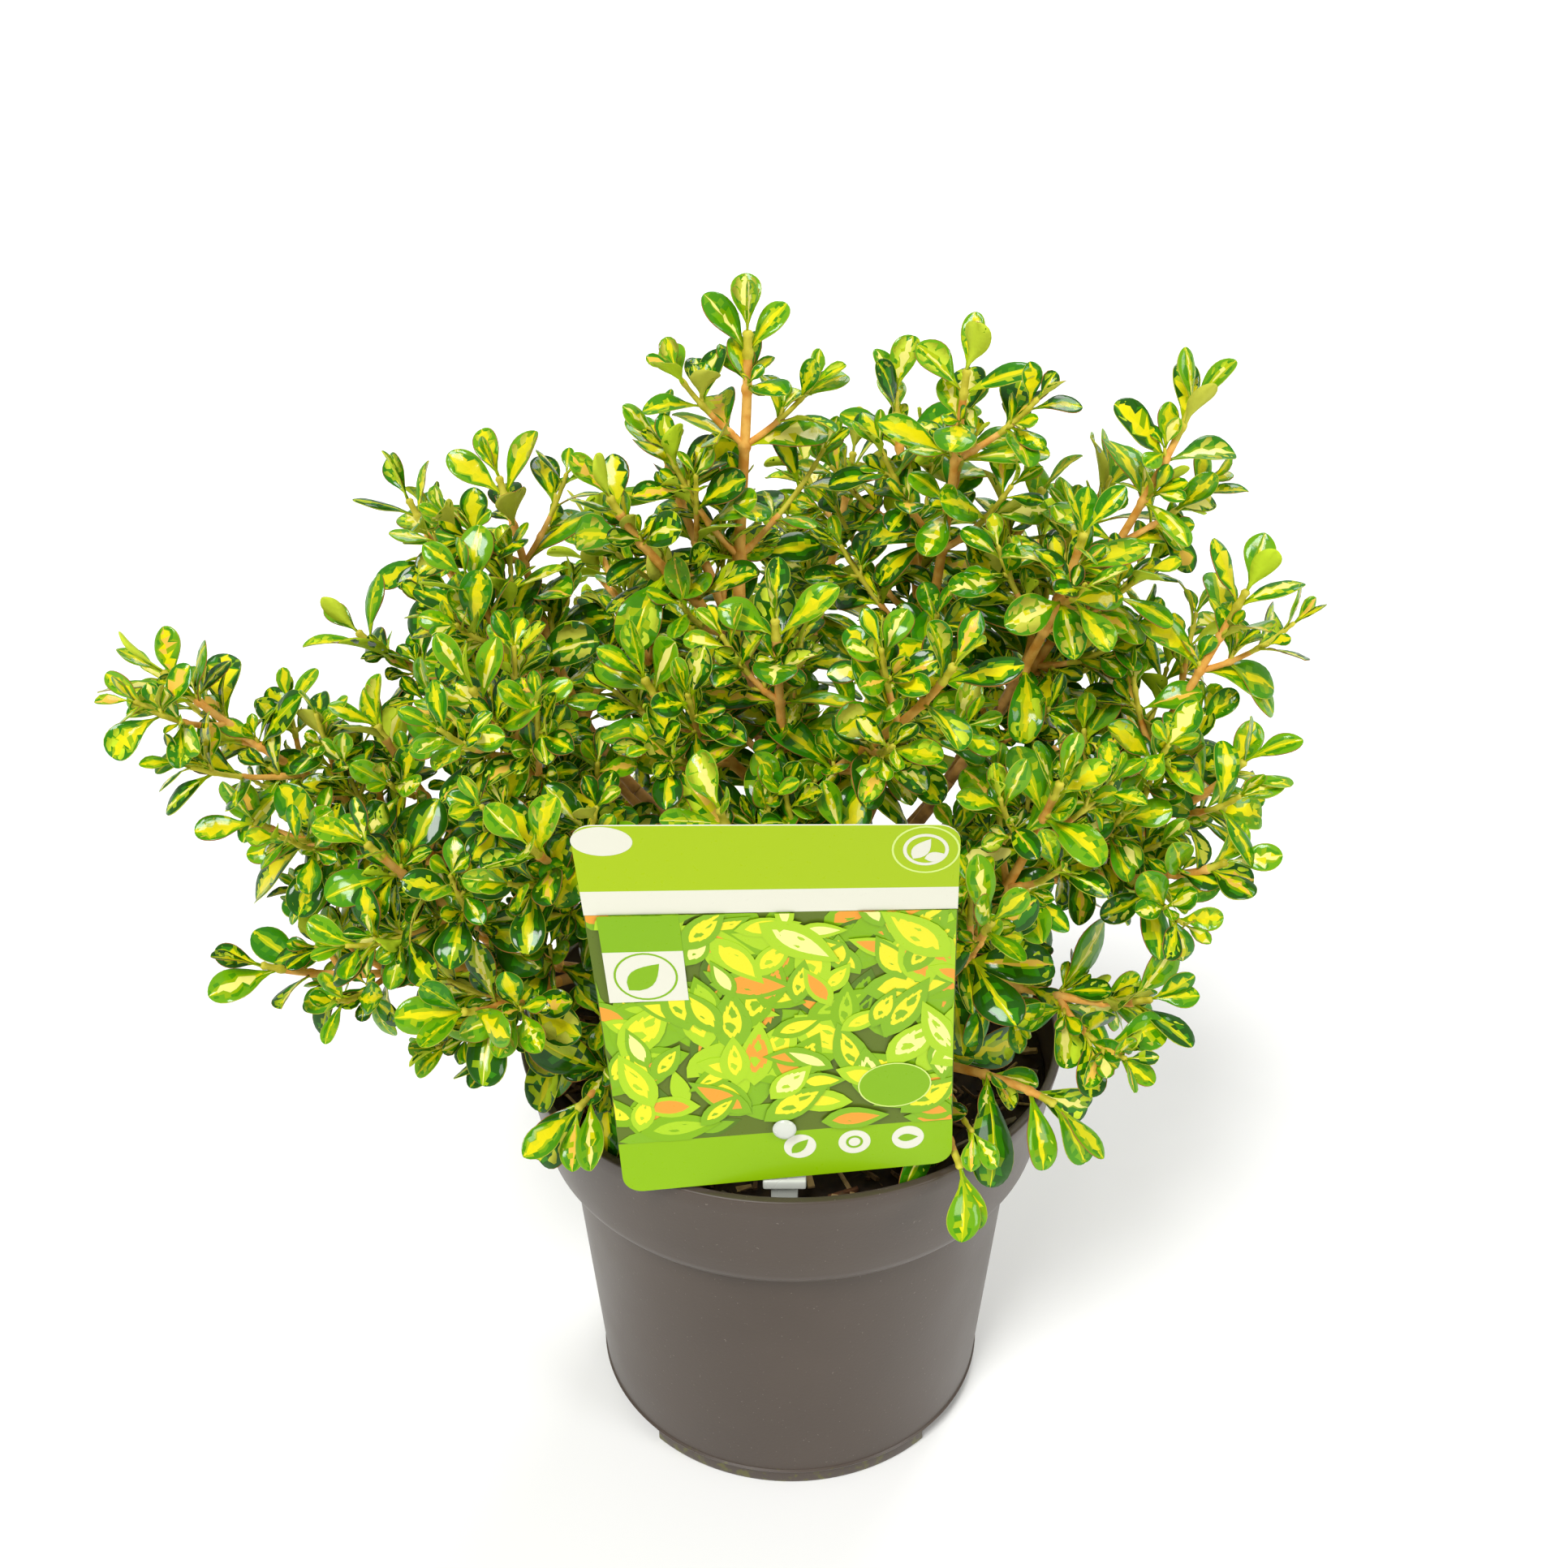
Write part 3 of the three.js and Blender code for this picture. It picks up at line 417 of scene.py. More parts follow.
class Plant:
    """Grows shoots, side twigs and leaves on from the limbs, and keeps them as lists."""

    def __init__(self, skeletons):
        self.room = Room(skeletons)
        self.skeletons = skeletons
        self.names = [bones["name"] for bones in skeletons]
        self.rng = np.random.default_rng(SEED)
        self.leaves = []
        self.twigs = []
        self.open = [OPENNESS.get(name, 1.0) for name in self.names]
        self.hang = [HANGING.get(name, 0.0) for name in self.names]

    def between(self, low, high):
        return self.rng.uniform(low, high)

    def chance(self, share):
        return self.rng.random() < share

    def leaf(self, limb, at, direction, outward, angle, length, young=0.0, spacing=LEAF_SPACING):
        """Adds one leaf where there is room for it."""
        angle = math.radians(angle + self.between(-ANGLE_CHANGE, ANGLE_CHANGE))
        axis = direction * math.cos(angle) + outward * math.sin(angle)
        light = light_at(at)
        towards_light = light * (axis @ light) * self.between(*TURN_FROM_LIGHT)
        axis = unit(axis - towards_light - UP * self.hang[limb])
        if self.hang[limb]:
            length *= HANGING_GROWTH
        face = unit(direction - axis * (direction @ axis)) * FACE_TWIG
        face = (face + light * self.between(*FACE_LIGHT) + unit(at - CROWN_MIDDLE) * FACE_OUT
                + self.rng.normal(0, FACE_CHANGE, 3))
        face = unit(face - axis * (face @ axis))
        droop = self.between(*DROOP)
        points = at + axis * length * TESTED_AT - face * (droop * length * TESTED_AT ** 2)
        room = spacing * min(1.0, length / FULL_ROOM_LENGTH)
        if not (self.room.is_free(points, LEAF_BOUGH_ROOM) and self.room.leaf_fits(points, room)):
            return False
        self.room.add_leaf(points, room)
        self.leaves.append(Leaf(limb, at, axis, face, length, young))
        return True

    def axil(self, limb, at, direction, outward, age):
        """A very short shoot in a leaf's axil, with one or two pairs of small leaves."""
        aim = unit(direction + outward * self.between(*AXIL_OUT) + UP * AXIL_UP)
        length = self.between(*AXIL_LENGTHS) + min(age, AXIL_OLDEST) * self.between(*AXIL_GROWTH)
        turn = self.between(0, math.pi)
        added = False
        for number, (size, angle) in enumerate(zip(AXIL_LEAF_LENGTHS, AXIL_LEAF_ANGLES)):
            if number and self.chance(AXIL_SKIPS_PAIR):
                continue
            place = at + aim * (length - number * length * 0.45)
            for half in (0, math.pi):
                side = perpendicular(aim, turn + half)
                grown = size * self.between(*AXIL_LEAF_CHANGE)
                added |= self.leaf(limb, place, aim, side, angle, grown, 0.5, AXIL_SPACING)
            turn += math.pi / 2
        if added:
            path = np.array([at, at + aim * length * 0.5, at + aim * length])
            self.twigs.append(Twig(path, AXIL_RADII, "axil"))

    def side_line(self, at, direction, outward, length):
        heading = unit(direction * self.between(*SIDE_ALONG) + outward * self.between(*SIDE_OUT))
        end = at + unit(heading + UP * self.between(*SIDE_UP)) * length
        return bezier(sweep(at, heading, end, SIDE_TURN), np.linspace(0, 1, SIDE_STEPS + 1))

    def side_shoot(self, limb, at, direction, outward, age):
        """A side twig with its own pairs of leaves, shorter where there is less room."""
        shortest, most = SIDE_LENGTHS
        longest = min(shortest + age * SIDE_GROWTH, most) * self.between(*SIDE_LENGTH_CHANGE)
        for share in SIDE_TRIES:
            length = longest * share
            if length < SHORTEST_SIDE:
                return False
            points = self.side_line(at, direction, outward, length)
            tested = points[2:]
            if self.room.is_free(tested) and self.room.in_own_space(tested, limb):
                self.shoot(limb, Line(points), SIDE_SHOOT)
                return True
        return False

    def shoot(self, limb, line, sort, thickness=1.0):
        """A leafy shoot, from its tip back to its foot."""
        turn = self.between(0, math.pi)
        back = FIRST_LEAVES_AT
        pair = 0
        pairs_at = []
        while back < line.length - sort.bare:
            distance = line.length - back
            at, direction = line.at(distance)
            pairs_at.append(distance)
            size = sort.lengths[min(pair, len(sort.lengths) - 1)]
            angle = LEAF_ANGLES[min(pair, len(LEAF_ANGLES) - 1)]
            young = max(0.0, 1 - pair / YOUNG_PAIRS)
            for half in (0, math.pi):
                hand = turn + half + self.between(-HAND_CHANGE, HAND_CHANGE)
                outward = perpendicular(direction, hand)
                length = size * self.between(*LENGTH_CHANGE)
                self.leaf(limb, at, direction, outward, angle, length, young)
                if pair < AXIL_FROM_PAIR:
                    continue
                grown = False
                may_branch = sort is MAIN_SHOOT and pair >= SIDE_FROM_PAIR
                if may_branch and self.chance(SIDE_CHANCE / self.open[limb]):
                    grown = self.side_shoot(limb, at, direction, outward, pair)
                if not grown and self.chance(AXIL_CHANCE / self.open[limb] ** 2):
                    self.axil(limb, at, direction, outward, pair)
            turn += math.pi / 2 + self.between(-TURN_CHANGE, TURN_CHANGE)
            space = sort.spaces[min(pair, len(sort.spaces) - 1)]
            back += space * self.between(*SPACE_CHANGE) * self.open[limb]
            pair += 1
        base, tip = sort.base_radius * thickness, sort.tip_radius * thickness
        self.twigs.append(Twig(*self.swollen(line, pairs_at, base, tip), sort.kind))

    @staticmethod
    def swollen(line, pairs_at, base_radius, tip_radius):
        """The path and radii of a twig that thickens a little at each pair of leaves."""
        stops = {0.0: 1.0, line.length: TIP_SHRINK}
        for k in range(1, SHOOT_STEPS):
            step = line.length * k / SHOOT_STEPS
            if all(abs(step - s) > SWELLING_ROOM for s in pairs_at):
                stops[step] = 1.0
        for s in pairs_at:
            for offset, grow in SWELLINGS:
                if 0 < s + offset < line.length:
                    stops[s + offset] = grow
        places = sorted(stops)
        path = np.array([line.at(p)[0] for p in places])
        radii = [stops[p] * (base_radius + (tip_radius - base_radius) * p / line.length)
                 for p in places]
        return path, radii

    def grow(self):
        fine = np.linspace(0, 1, SHOOT_STEPS + 1)
        for limb, bones in enumerate(self.skeletons):
            for number, curve in enumerate(bones["curves"]):
                is_leader = bones["name"] == "leader" and number == 0
                thickness = LEADER_THICKNESS if is_leader else 1.0
                self.shoot(limb, Line(bezier(curve, fine)), MAIN_SHOOT, thickness)


# Meshes from arrays
BLOCK_ROUNDING = 0.22  # of a block's least size


def add_piece(name, mesh, nodes):
    piece = bpy.data.objects.new(name, mesh)
    bpy.context.scene.collection.objects.link(piece)
    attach(piece, "root")
    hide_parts(*nodes)


def add_quads(name, nodes, parts, materials):
    """Adds one smooth piece from parts, each of points, quads and the material of each quad."""
    starts = np.cumsum([0] + [len(points) for points, _, _ in parts[:-1]])
    points = np.concatenate([points for points, _, _ in parts])
    quads = np.concatenate([part[1] + start for part, start in zip(parts, starts)])
    tints = np.concatenate([np.broadcast_to(tint, len(quads)) for _, quads, tint in parts])
    mesh = bpy.data.meshes.new(name)
    mesh.vertices.add(len(points))
    mesh.vertices.foreach_set("co", (points.astype(np.float32) * MM).ravel())
    mesh.loops.add(quads.size)
    mesh.loops.foreach_set("vertex_index", quads.astype(np.int32).ravel())
    mesh.polygons.add(len(quads))
    mesh.polygons.foreach_set("loop_start", np.arange(0, quads.size, 4, dtype=np.int32))
    for material in materials:
        mesh.materials.append(material)
    mesh.polygons.foreach_set("material_index", tints.astype(np.int32))
    mesh.update(calc_edges=True)
    mesh.shade_smooth()
    add_piece(name, mesh, nodes)


def add_solid(name, slot, points, faces, materials, tints=(0,), sharp=40, blocks=()):
    """Adds one piece from lists, smooth but for its sharp edges, with any rounded blocks."""
    mesh = bpy.data.meshes.new(name)
    mesh.from_pydata([tuple(float(c) * MM for c in point) for point in points], [], faces)
    for material in materials:
        mesh.materials.append(material)
    mesh.polygons.foreach_set("material_index", np.broadcast_to(tints, len(faces)).astype(np.int32))
    work = bmesh.new()
    work.from_mesh(mesh)
    for centre, size in blocks:
        corners = bmesh.ops.create_cube(work, size=1.0)["verts"]
        bmesh.ops.scale(work, vec=[s * MM for s in size], verts=corners)
        bmesh.ops.translate(work, vec=[c * MM for c in centre], verts=corners)
        edges = list(dict.fromkeys(edge for corner in corners for edge in corner.link_edges))
        bmesh.ops.bevel(work, geom=edges, offset=min(size) * BLOCK_ROUNDING * MM, segments=3,
                        profile=0.6, affect="EDGES")
    bmesh.ops.delete(work, geom=[v for v in work.verts if not v.link_faces], context="VERTS")
    bmesh.ops.recalc_face_normals(work, faces=work.faces)
    work.to_mesh(mesh)
    work.free()
    mesh.shade_smooth()
    mesh.set_sharp_from_angle(angle=math.radians(sharp))
    add_piece(name, mesh, [slot])


def round_angles(count):
    return np.arange(count) * 2 * math.pi / count


def rise(start_and_gain, share):
    """A start, and a share of a gain on top."""
    start, gain = start_and_gain
    return start + gain * share


def ring_quads(rings, sides):
    """The quads between closed rings of points."""
    i, k = np.meshgrid(np.arange(rings - 1) * sides, np.arange(sides), indexing="ij")
    n = (k + 1) % sides
    return np.stack([i + k, i + n, i + sides + n, i + sides + k], -1).reshape(-1, 4)


def ring_faces(rings, sides, tips=()):
    """The same as lists, where each ring whose number is in tips is one point, its first."""
    faces = [[v - v % sides if v // sides in tips else v for v in quad]
             for quad in ring_quads(rings, sides).tolist()]
    return [list(dict.fromkeys(face)) for face in faces]


def capped(rings, sides):
    """Faces of a closed shell of rings of points, with one face over either end."""
    first, last = list(range(sides)), list(range((rings - 1) * sides, rings * sides))
    return ring_faces(rings, sides) + [first[:1] + first[:0:-1], last]


def tube(path, radii, sides, relief=None):
    """A closed tube along a path, as points and quads; sides is even."""
    along = unit(np.gradient(path, axis=0))
    across = UP if abs(along[0][2]) < NEARLY_UPRIGHT else SIDEWAYS
    angles = round_angles(sides)
    rings = []
    for i, (at, forward) in enumerate(zip(path, along)):
        across = unit(across - forward * (across @ forward))
        other = np.cross(forward, across)
        radius = radii[i] * (relief(i, angles) if relief else np.ones(sides))
        rings.append(at + (radius * np.cos(angles))[:, None] * across
                     + (radius * np.sin(angles))[:, None] * other)
    last = (len(path) - 1) * sides
    caps = [(0, k + 2, k + 1, k) for k in range(1, sides - 2, 2)]
    caps += [(last, last + k, last + k + 1, last + k + 2) for k in range(1, sides - 2, 2)]
    return np.concatenate(rings), np.concatenate([ring_quads(len(path), sides), np.array(caps)])


# Materials
def linear(hexcode):
    parts = [int(hexcode[i:i + 2], 16) / 255 for i in (1, 3, 5)]
    return tuple(c / 12.92 if c <= 0.04045 else ((c + 0.055) / 1.055) ** 2.4 for c in parts) + (1,)


class Finish:
    """A material, and the node groups that the finishes here are made of."""

    def __init__(self, name, colour, roughness, specular=0.5, coat=0.0, coat_roughness=0.1):
        self.material = bpy.data.materials.new(name)
        self.material.use_nodes = True
        self.material.diffuse_color = linear(colour)
        self.nodes = self.material.node_tree.nodes
        self.links = self.material.node_tree.links
        self.inputs = self.nodes["Principled BSDF"].inputs
        for socket, value in (("Base Color", linear(colour)), ("Roughness", roughness),
                              ("Specular IOR Level", specular), ("Coat Weight", coat),
                              ("Coat Roughness", coat_roughness)):
            self.inputs[socket].default_value = value

    def node(self, kind, values, sources):
        """A node with some inputs set to values and others linked to sources."""
        node = self.nodes.new("ShaderNode" + kind)
        for socket, value in values.items():
            node.inputs[socket].default_value = value
        for socket, source in sources.items():
            self.links.new(source, node.inputs[socket])
        return node

    def drive(self, socket, source):
        self.links.new(source, self.inputs[socket])

    def place(self):
        return self.nodes.new("ShaderNodeTexCoord").outputs["Object"]

    def noise(self, scale, detail):
        values = {"Scale": scale, "Detail": detail}
        return self.node("TexNoise", values, {"Vector": self.place()}).outputs["Fac"]

    def spread(self, value, low, high, to_low, to_high):
        limits = {"From Min": low, "From Max": high, "To Min": to_low, "To Max": to_high}
        return self.node("MapRange", limits, {"Value": value}).outputs["Result"]

    def bump(self, height, distance, strength):
        values = {"Distance": distance, "Strength": strength}
        self.drive("Normal", self.node("Bump", values, {"Height": height}).outputs["Normal"])

    def grain(self, scale, detail, smooth, rough, distance, strength):
        """One noise that moves the roughness between two values and makes the bump."""
        fine = self.noise(scale, detail)
        self.drive("Roughness", self.spread(fine, 0.3, 0.7, smooth, rough))
        self.bump(fine, distance, strength)
        return fine

    def ramp(self, value, stops):
        node = self.node("ValToRGB", {}, {"Fac": value})
        for element, (place, colour) in zip(node.color_ramp.elements, stops):
            element.position = place
            element.color = linear(colour)
        return node.outputs["Color"]

    def blend(self, share, under, over):
        """A colour that turns to the colour over where the share is high."""
        node = self.nodes.new("ShaderNodeMix")
        node.data_type = "RGBA"
        self.links.new(share, node.inputs["Factor"])
        self.links.new(under, node.inputs["A"])
        node.inputs["B"].default_value = linear(over)
        return node.outputs["Result"]


def bark(name, low, high, roughness=0.62):
    finish = Finish(name, low, roughness, specular=0.2)
    fine = finish.grain(240.0, 5.0, roughness - 0.1, roughness + 0.12, 0.0005, 0.5)
    finish.drive("Base Color", finish.ramp(fine, ((0.35, low), (0.62, high))))
    return finish.material


# Leaves
BIG_STATIONS = np.array([0, 0.12, 0.24, 0.34, 0.43, 0.52, 0.61, 0.7, 0.79, 0.87, 0.94, 0.98, 1])
SMALL_STATIONS = np.array([0, 0.2, 0.4, 0.6, 0.8, 0.94, 1])
SHORTEST_BIG = 13.5
OUTLINE = np.array([
    (0, 0.085), (0.08, 0.08), (0.16, 0.13), (0.24, 0.26), (0.32, 0.45), (0.40, 0.65),
    (0.48, 0.82), (0.56, 0.94), (0.64, 1.0), (0.71, 1.0), (0.78, 0.96), (0.85, 0.86),
    (0.91, 0.70), (0.955, 0.51), (0.985, 0.30), (1.0, 0.10)])
SIDE_VEINS = 4
QUILT = 0.1
RING = 12  # points round a leaf's shell at each station
FINE = 32  # steps of its middle line
# What a leaf's own shape is drawn from: a low and a high limit, or the spread of a normal draw
HALF_WIDTH = (0.44, 0.62)  # times the length to the power below
WIDTH_POWER = 0.75
CURVE = (0.35, 1.1)
STRONG_CURVE_SHARE = 0.12
STRONG_CURVE = 1.5
START_SLOPE = (-0.25, 0.05)
CUP = (-0.2, 0.36)
TWIST = 0.28
SICKLE = 0.05
SHARPNESS = (0.8, 1.25)
RIM_AHEAD = 0.07  # how much further along its rim lies at most
WAVE_HEIGHT = 0.05
WAVES = 9
VEIN_SLANT = 0.3
# How far the yellow middle reaches across along the leaf, as stations and shares
MIDDLE_REACH = ((0, 0.15, 0.35, 0.6, 0.8, 0.93, 1), (0.5, 0.45, 0.42, 0.46, 0.34, 0.12, 0.03))
# The middle's width, from the powers of a beta draw. Then starts and gains: of the width by that
# draw, and of its change by the leaf's height and its depth in the crown; the yellow narrows deep
# in the crown as painted shade
MIDDLE_DRAW = (1.5, 2.4)
MIDDLE_WIDTH = (0.07, 1.35)
MIDDLE_BY_HEIGHT = (0.82, 0.3)
MIDDLE_PAINTED_SHADE_BY_DEPTH = (1.1, -0.55)
MIDDLE_LIMITS = (0.03, 0.86)
MIDDLE_ROUGHNESS = 0.14
HAND_DIFFERENCE = 0.3
TOOTH_DEPTH = (0.1, 0.75)
LIME_WIDTH = (0.08, 0.26)
LIME_LIMITS = (0.04, 0.4)
LIME_ROUGHNESS = 0.03
LIME_REACH = 0.9
INNER_GREEN = (0.3, 0.6)
MARGIN_WIDTH = 0.25
MARGIN_LIMITS = (0.025, 0.16)
THICKNESS = ((0, 0.2, 0.5, 1), (0.9, 0.62, 0.5, 0.34))
FULL_THICKNESS_LENGTH = 20
LEVELS = np.array([-0.45, 0, 0, 0, 0, -0.18, 0, 0, 0, 0, -0.45, -1.0])  # over the thickness

GREEN, LIME, YELLOW, MARGIN, BELOW, OTHER_GREEN, OTHER_YELLOW = range(7)
STRIP_ZONES = np.array([MARGIN, GREEN, GREEN, LIME, YELLOW, YELLOW, LIME, GREEN, GREEN, MARGIN,
                        BELOW, BELOW])
# How many strips each strip lies out from the midrib
STRIP_STEPS = np.array([4, 3, 2, 1, 0, 0, 1, 2, 3, 4, 4, 4])
# Streaks: strips so far out take a zone where their vein's draw lies between two limits
STREAKS = ((0, 0, 0.05, LIME), (1, 0, 0.16, GREEN), (1, 0.9, 1, YELLOW), (2, 0.84, 1, LIME),
           (3, 0.95, 1, LIME))
# Each zone's tints, their shares, its roughness and its coat
LEAF_TINTS = (
    ("green", ("#307a04", "#478b05", "#1f5403", "#68a008"), (0.34, 0.28, 0.2, 0.18), 0.36, 0.5),
    ("lime", ("#8aaa06", "#9cb408", "#789c05", "#aabc0e"), None, 0.36, 0.4),
    ("yellow", ("#dfd30e", "#d4ce10", "#eae27a", "#e6ba48"), (0.37, 0.26, 0.27, 0.1), 0.38, 0.35),
    ("rim", ("#aab43c", "#9a6a34"), (0.6, 0.4), 0.5, 0.0),
    # The undersides are paler green, and are lightened further as painted light for the light that
    # shines through the leaf.
    ("under", ("#bed82e", "#c6d83a", "#c4c648"), None, 0.55, 0.0),
)
DARKEST, FRESHEST = 2, 3
SECOND_GREEN = np.array([1, 3, 0, 1])  # the tint that goes beside each green
# Shares of the faces that take the second green or yellow, of the leaves whose second yellow is
# another one, and of the stalk's faces that are lime
GREEN_CHANGES = 0.55
YELLOW_CHANGES = 0.25
YELLOW_DIFFERS = 0.8
STALK_LIME = 0.75
STALK_END = 0.2
LOW_CROWN = 190
HIGH_CROWN = 350


# How deep a point lies in the crown; deep leaves get darker greens and less yellow, as painted shade.
def depth_in_crown(points):
    return 1 - np.linalg.norm((points - CROWN_MIDDLE) / CROWN_REACH, axis=1)


def height_in_crown(points):
    """From 0 among the low leaves to 1 among the high ones, which are the yellower."""
    return np.clip((points[:, 2] - LOW_CROWN) / (HIGH_CROWN - LOW_CROWN), 0, 1)


def strip_edges(root, half_width, rings, profile, rng):
    """How far across the edges of a leaf's strips lie, from -1 to 1, round its shell."""
    count = len(root)
    amount = rise(MIDDLE_WIDTH, rng.beta(*MIDDLE_DRAW, count))
    amount *= rise(MIDDLE_BY_HEIGHT, height_in_crown(root))
    # The yellow middle narrows deep in the crown: painted shade.
    amount *= rise(MIDDLE_PAINTED_SHADE_BY_DEPTH, np.clip(depth_in_crown(root) / 0.5, 0, 1))
    feather = rng.uniform(*TOOTH_DEPTH, count)[:, None]
    hands = []
    for hand in (-1, 1):
        lean = 1 + hand * rng.normal(0, HAND_DIFFERENCE, count)
        phase = rng.integers(0, 3, count)[:, None]
        tooth = ((np.arange(rings) + phase) % 3 - 1) * feather
        rough = rng.normal(0, MIDDLE_ROUGHNESS, (count, rings))
        middle = profile * (amount * lean)[:, None] * (1 + tooth + rough)
        middle = np.clip(middle, *MIDDLE_LIMITS)
        wide = rng.uniform(*LIME_WIDTH, count)[:, None] * (1 - 0.6 * tooth)
        wide = np.clip(wide + rng.normal(0, LIME_ROUGHNESS, (count, rings)), *LIME_LIMITS)
        lime = np.minimum(middle + wide, LIME_REACH)
        green = lime + (1 - lime) * rng.uniform(*INNER_GREEN, (count, rings))
        hands.append((middle, lime, green))
    left, right = hands
    rim = np.ones((count, rings))
    inner = rim - np.clip(MARGIN_WIDTH / half_width, *MARGIN_LIMITS)[:, None]
    return np.stack([-rim, -inner, *(-reach * inner for reach in left[::-1]), 0 * rim,
                     *(reach * inner for reach in right), inner, rim, 0 * rim], 2)


def leaf_arrays(leaves, stations, rng):
    """Closed leaf shells: the points of each leaf, the quads of one and each quad's zone."""
    count, rings = len(leaves), len(stations)
    _, root, axis, face, length, young = (np.array(column) for column in zip(*leaves))
    root, axis, face, side = (v[:, None, None] for v in (root, axis, face, np.cross(face, axis)))

    half_width = length ** WIDTH_POWER * rng.uniform(*HALF_WIDTH, count) * (1 - 0.08 * young)
    curve = rng.uniform(*CURVE, count)
    curve *= np.where(rng.random(count) < STRONG_CURVE_SHARE, STRONG_CURVE, 1.0)
    curve *= 1 - 0.6 * young
    start = rng.uniform(*START_SLOPE, count) - 0.12 * curve
    cup = rng.uniform(*CUP, count)
    twist = rng.normal(0, TWIST, count)
    sickle = rng.normal(0, SICKLE, count)
    sharp = rng.uniform(*SHARPNESS, count)
    profile = np.interp(stations, *MIDDLE_REACH)
    across = strip_edges(root[:, 0, 0], half_width, rings, profile, rng)
    ahead = RIM_AHEAD * np.sin(np.pi * stations)
    place = stations[:, None] + np.abs(across) * ahead[:, None]

    # The leaf's middle line curves down along its length
    slope = start[:, None] + curve[:, None] * np.linspace(0, 1, FINE + 1) ** 1.5
    spot = np.clip(place, 0, 1) * FINE
    low = np.minimum(spot.astype(int), FINE - 1)
    part = spot - low
    pick = np.arange(count)[:, None, None]

    def read(line):
        return line[pick, low] * (1 - part) + line[pick, low + 1] * part

    def summed(steps):
        return np.cumsum(np.concatenate([np.zeros((count, 1)), steps[:, :-1]], 1), 1) / FINE

    x, z, tilt = read(summed(np.cos(slope))), -read(summed(np.sin(slope))), read(slope)

    half_width, cup, twist, sickle, sharp, length = (
        v[:, None, None] for v in (half_width, cup, twist, sickle, sharp, length))
    width = np.interp(place, OUTLINE[:, 0], OUTLINE[:, 1]) ** sharp * half_width
    blade = np.clip((place - 0.12) / 0.25, 0, 1)
    phase = rng.uniform(0, PHASES, count)[:, None, None]
    wave = WAVE_HEIGHT * np.sin(WAVES * place + phase) * across ** 2
    veins = 2 * np.pi * SIDE_VEINS * (place - VEIN_SLANT * np.abs(across))
    quilt = QUILT * np.sin(veins) * np.abs(across)
    lift = (cup * across ** 2 * blade + wave + quilt * (1 - across ** 2)) * width
    thick = np.interp(place, *THICKNESS) * np.clip(length / FULL_THICKNESS_LENGTH, 0.6, 1.1)
    lift = lift + LEVELS * thick
    y, roll = across * width, twist * place
    y, lift = y * np.cos(roll) - lift * np.sin(roll), y * np.sin(roll) + lift * np.cos(roll)
    y = y + sickle * place ** 2 * length
    x = x * length + lift * np.sin(tilt)
    z = z * length + lift * np.cos(tilt)
    points = root + x[..., None] * axis + y[..., None] * side + z[..., None] * face

    cap = np.array([(0, 1, 2, 11), (2, 3, 10, 11), (3, 4, 9, 10), (4, 5, 8, 9), (5, 6, 7, 8)])
    last = (rings - 1) * RING
    quads = np.concatenate([ring_quads(rings, RING)[:, [0, 3, 2, 1]], cap, last + cap[:, ::-1]])
    return points.reshape(count, rings * RING, 3), quads, leaf_zones(count, stations, rng)


def leaf_zones(count, stations, rng):
    """The zone of every face: strips along the leaf, crossed by streaks that run out like veins."""
    steps = len(stations) - 1
    along, strip = np.meshgrid(np.arange(steps), np.arange(RING), indexing="ij")
    out = STRIP_STEPS[strip]
    hand = (strip > 4).astype(int)
    vein = along - out + 4
    streak = rng.random((count, 2, steps + 4))[:, hand, vein]
    shade = rng.random((count, 2, steps + 4))[:, hand, vein]
    own = rng.random((count, steps, RING))
    on_top = STRIP_ZONES[strip] < MARGIN
    zones = np.broadcast_to(STRIP_ZONES, (count, steps, RING)).copy()
    for step, least, most, zone in STREAKS:
        zones[on_top & (out == step) & (streak > least) & (streak < most)] = zone
    zones[(zones == GREEN) & (out < 3) & (shade < GREEN_CHANGES)] = OTHER_GREEN
    zones[(zones == YELLOW) & (shade > 1 - YELLOW_CHANGES)] = OTHER_YELLOW
    stalk = (stations[:-1] < STALK_END)[None, :, None] & (own < STALK_LIME)
    zones[stalk & (zones != BELOW)] = LIME
    ends = np.full((count, RING - 2), MARGIN)
    return np.concatenate([zones.reshape(count, -1), ends], 1)


def tint_zones(leaves, zones, rng):
    """The material of every face, from each leaf's own choice of tints, with the darkest green more
    often deep in the crown as painted shade.
    """
    count = len(leaves)
    root = np.array([leaf.root for leaf in leaves])
    young = np.array([leaf.young for leaf in leaves])

    def pick(zone):
        _, tints, shares, _, _ = LEAF_TINTS[zone]
        return rng.choice(len(tints), count, p=shares)

    green = pick(GREEN)
    # Deep in the crown the darkest green is painted shade; low leaves take it more often too, and
    # young leaves the freshest green.
    for where, share, tint in ((depth_in_crown(root) > 0.28, 0.6, DARKEST),
                               (height_in_crown(root) < 0.5, 0.3, DARKEST),
                               (young > 0.5, 0.5, FRESHEST)):
        green = np.where(where & (rng.random(count) < share), tint, green)
    lime = pick(LIME)
    yellow = pick(YELLOW)
    other_yellow = np.where(rng.random(count) < YELLOW_DIFFERS, 1 - yellow % 2, yellow)
    choice = (green, lime, yellow, pick(MARGIN), pick(BELOW), SECOND_GREEN[green], other_yellow)
    starts = np.cumsum([0] + [len(tints) for _, tints, *_ in LEAF_TINTS])
    starts = starts[[GREEN, LIME, YELLOW, MARGIN, BELOW, GREEN, YELLOW]]
    return np.take_along_axis(np.stack(choice, 1) + starts, zones, 1)


def leaf_finish(name, colour, roughness, coat):
    """A plain colour, with the fine uneven gloss of a thick leaf."""
    finish = Finish(name, colour, roughness, specular=0.02, coat=coat)
    finish.grain(360.0, 3.0, roughness - 0.07, roughness + 0.09, 0.0006, 0.6)
    return finish.material


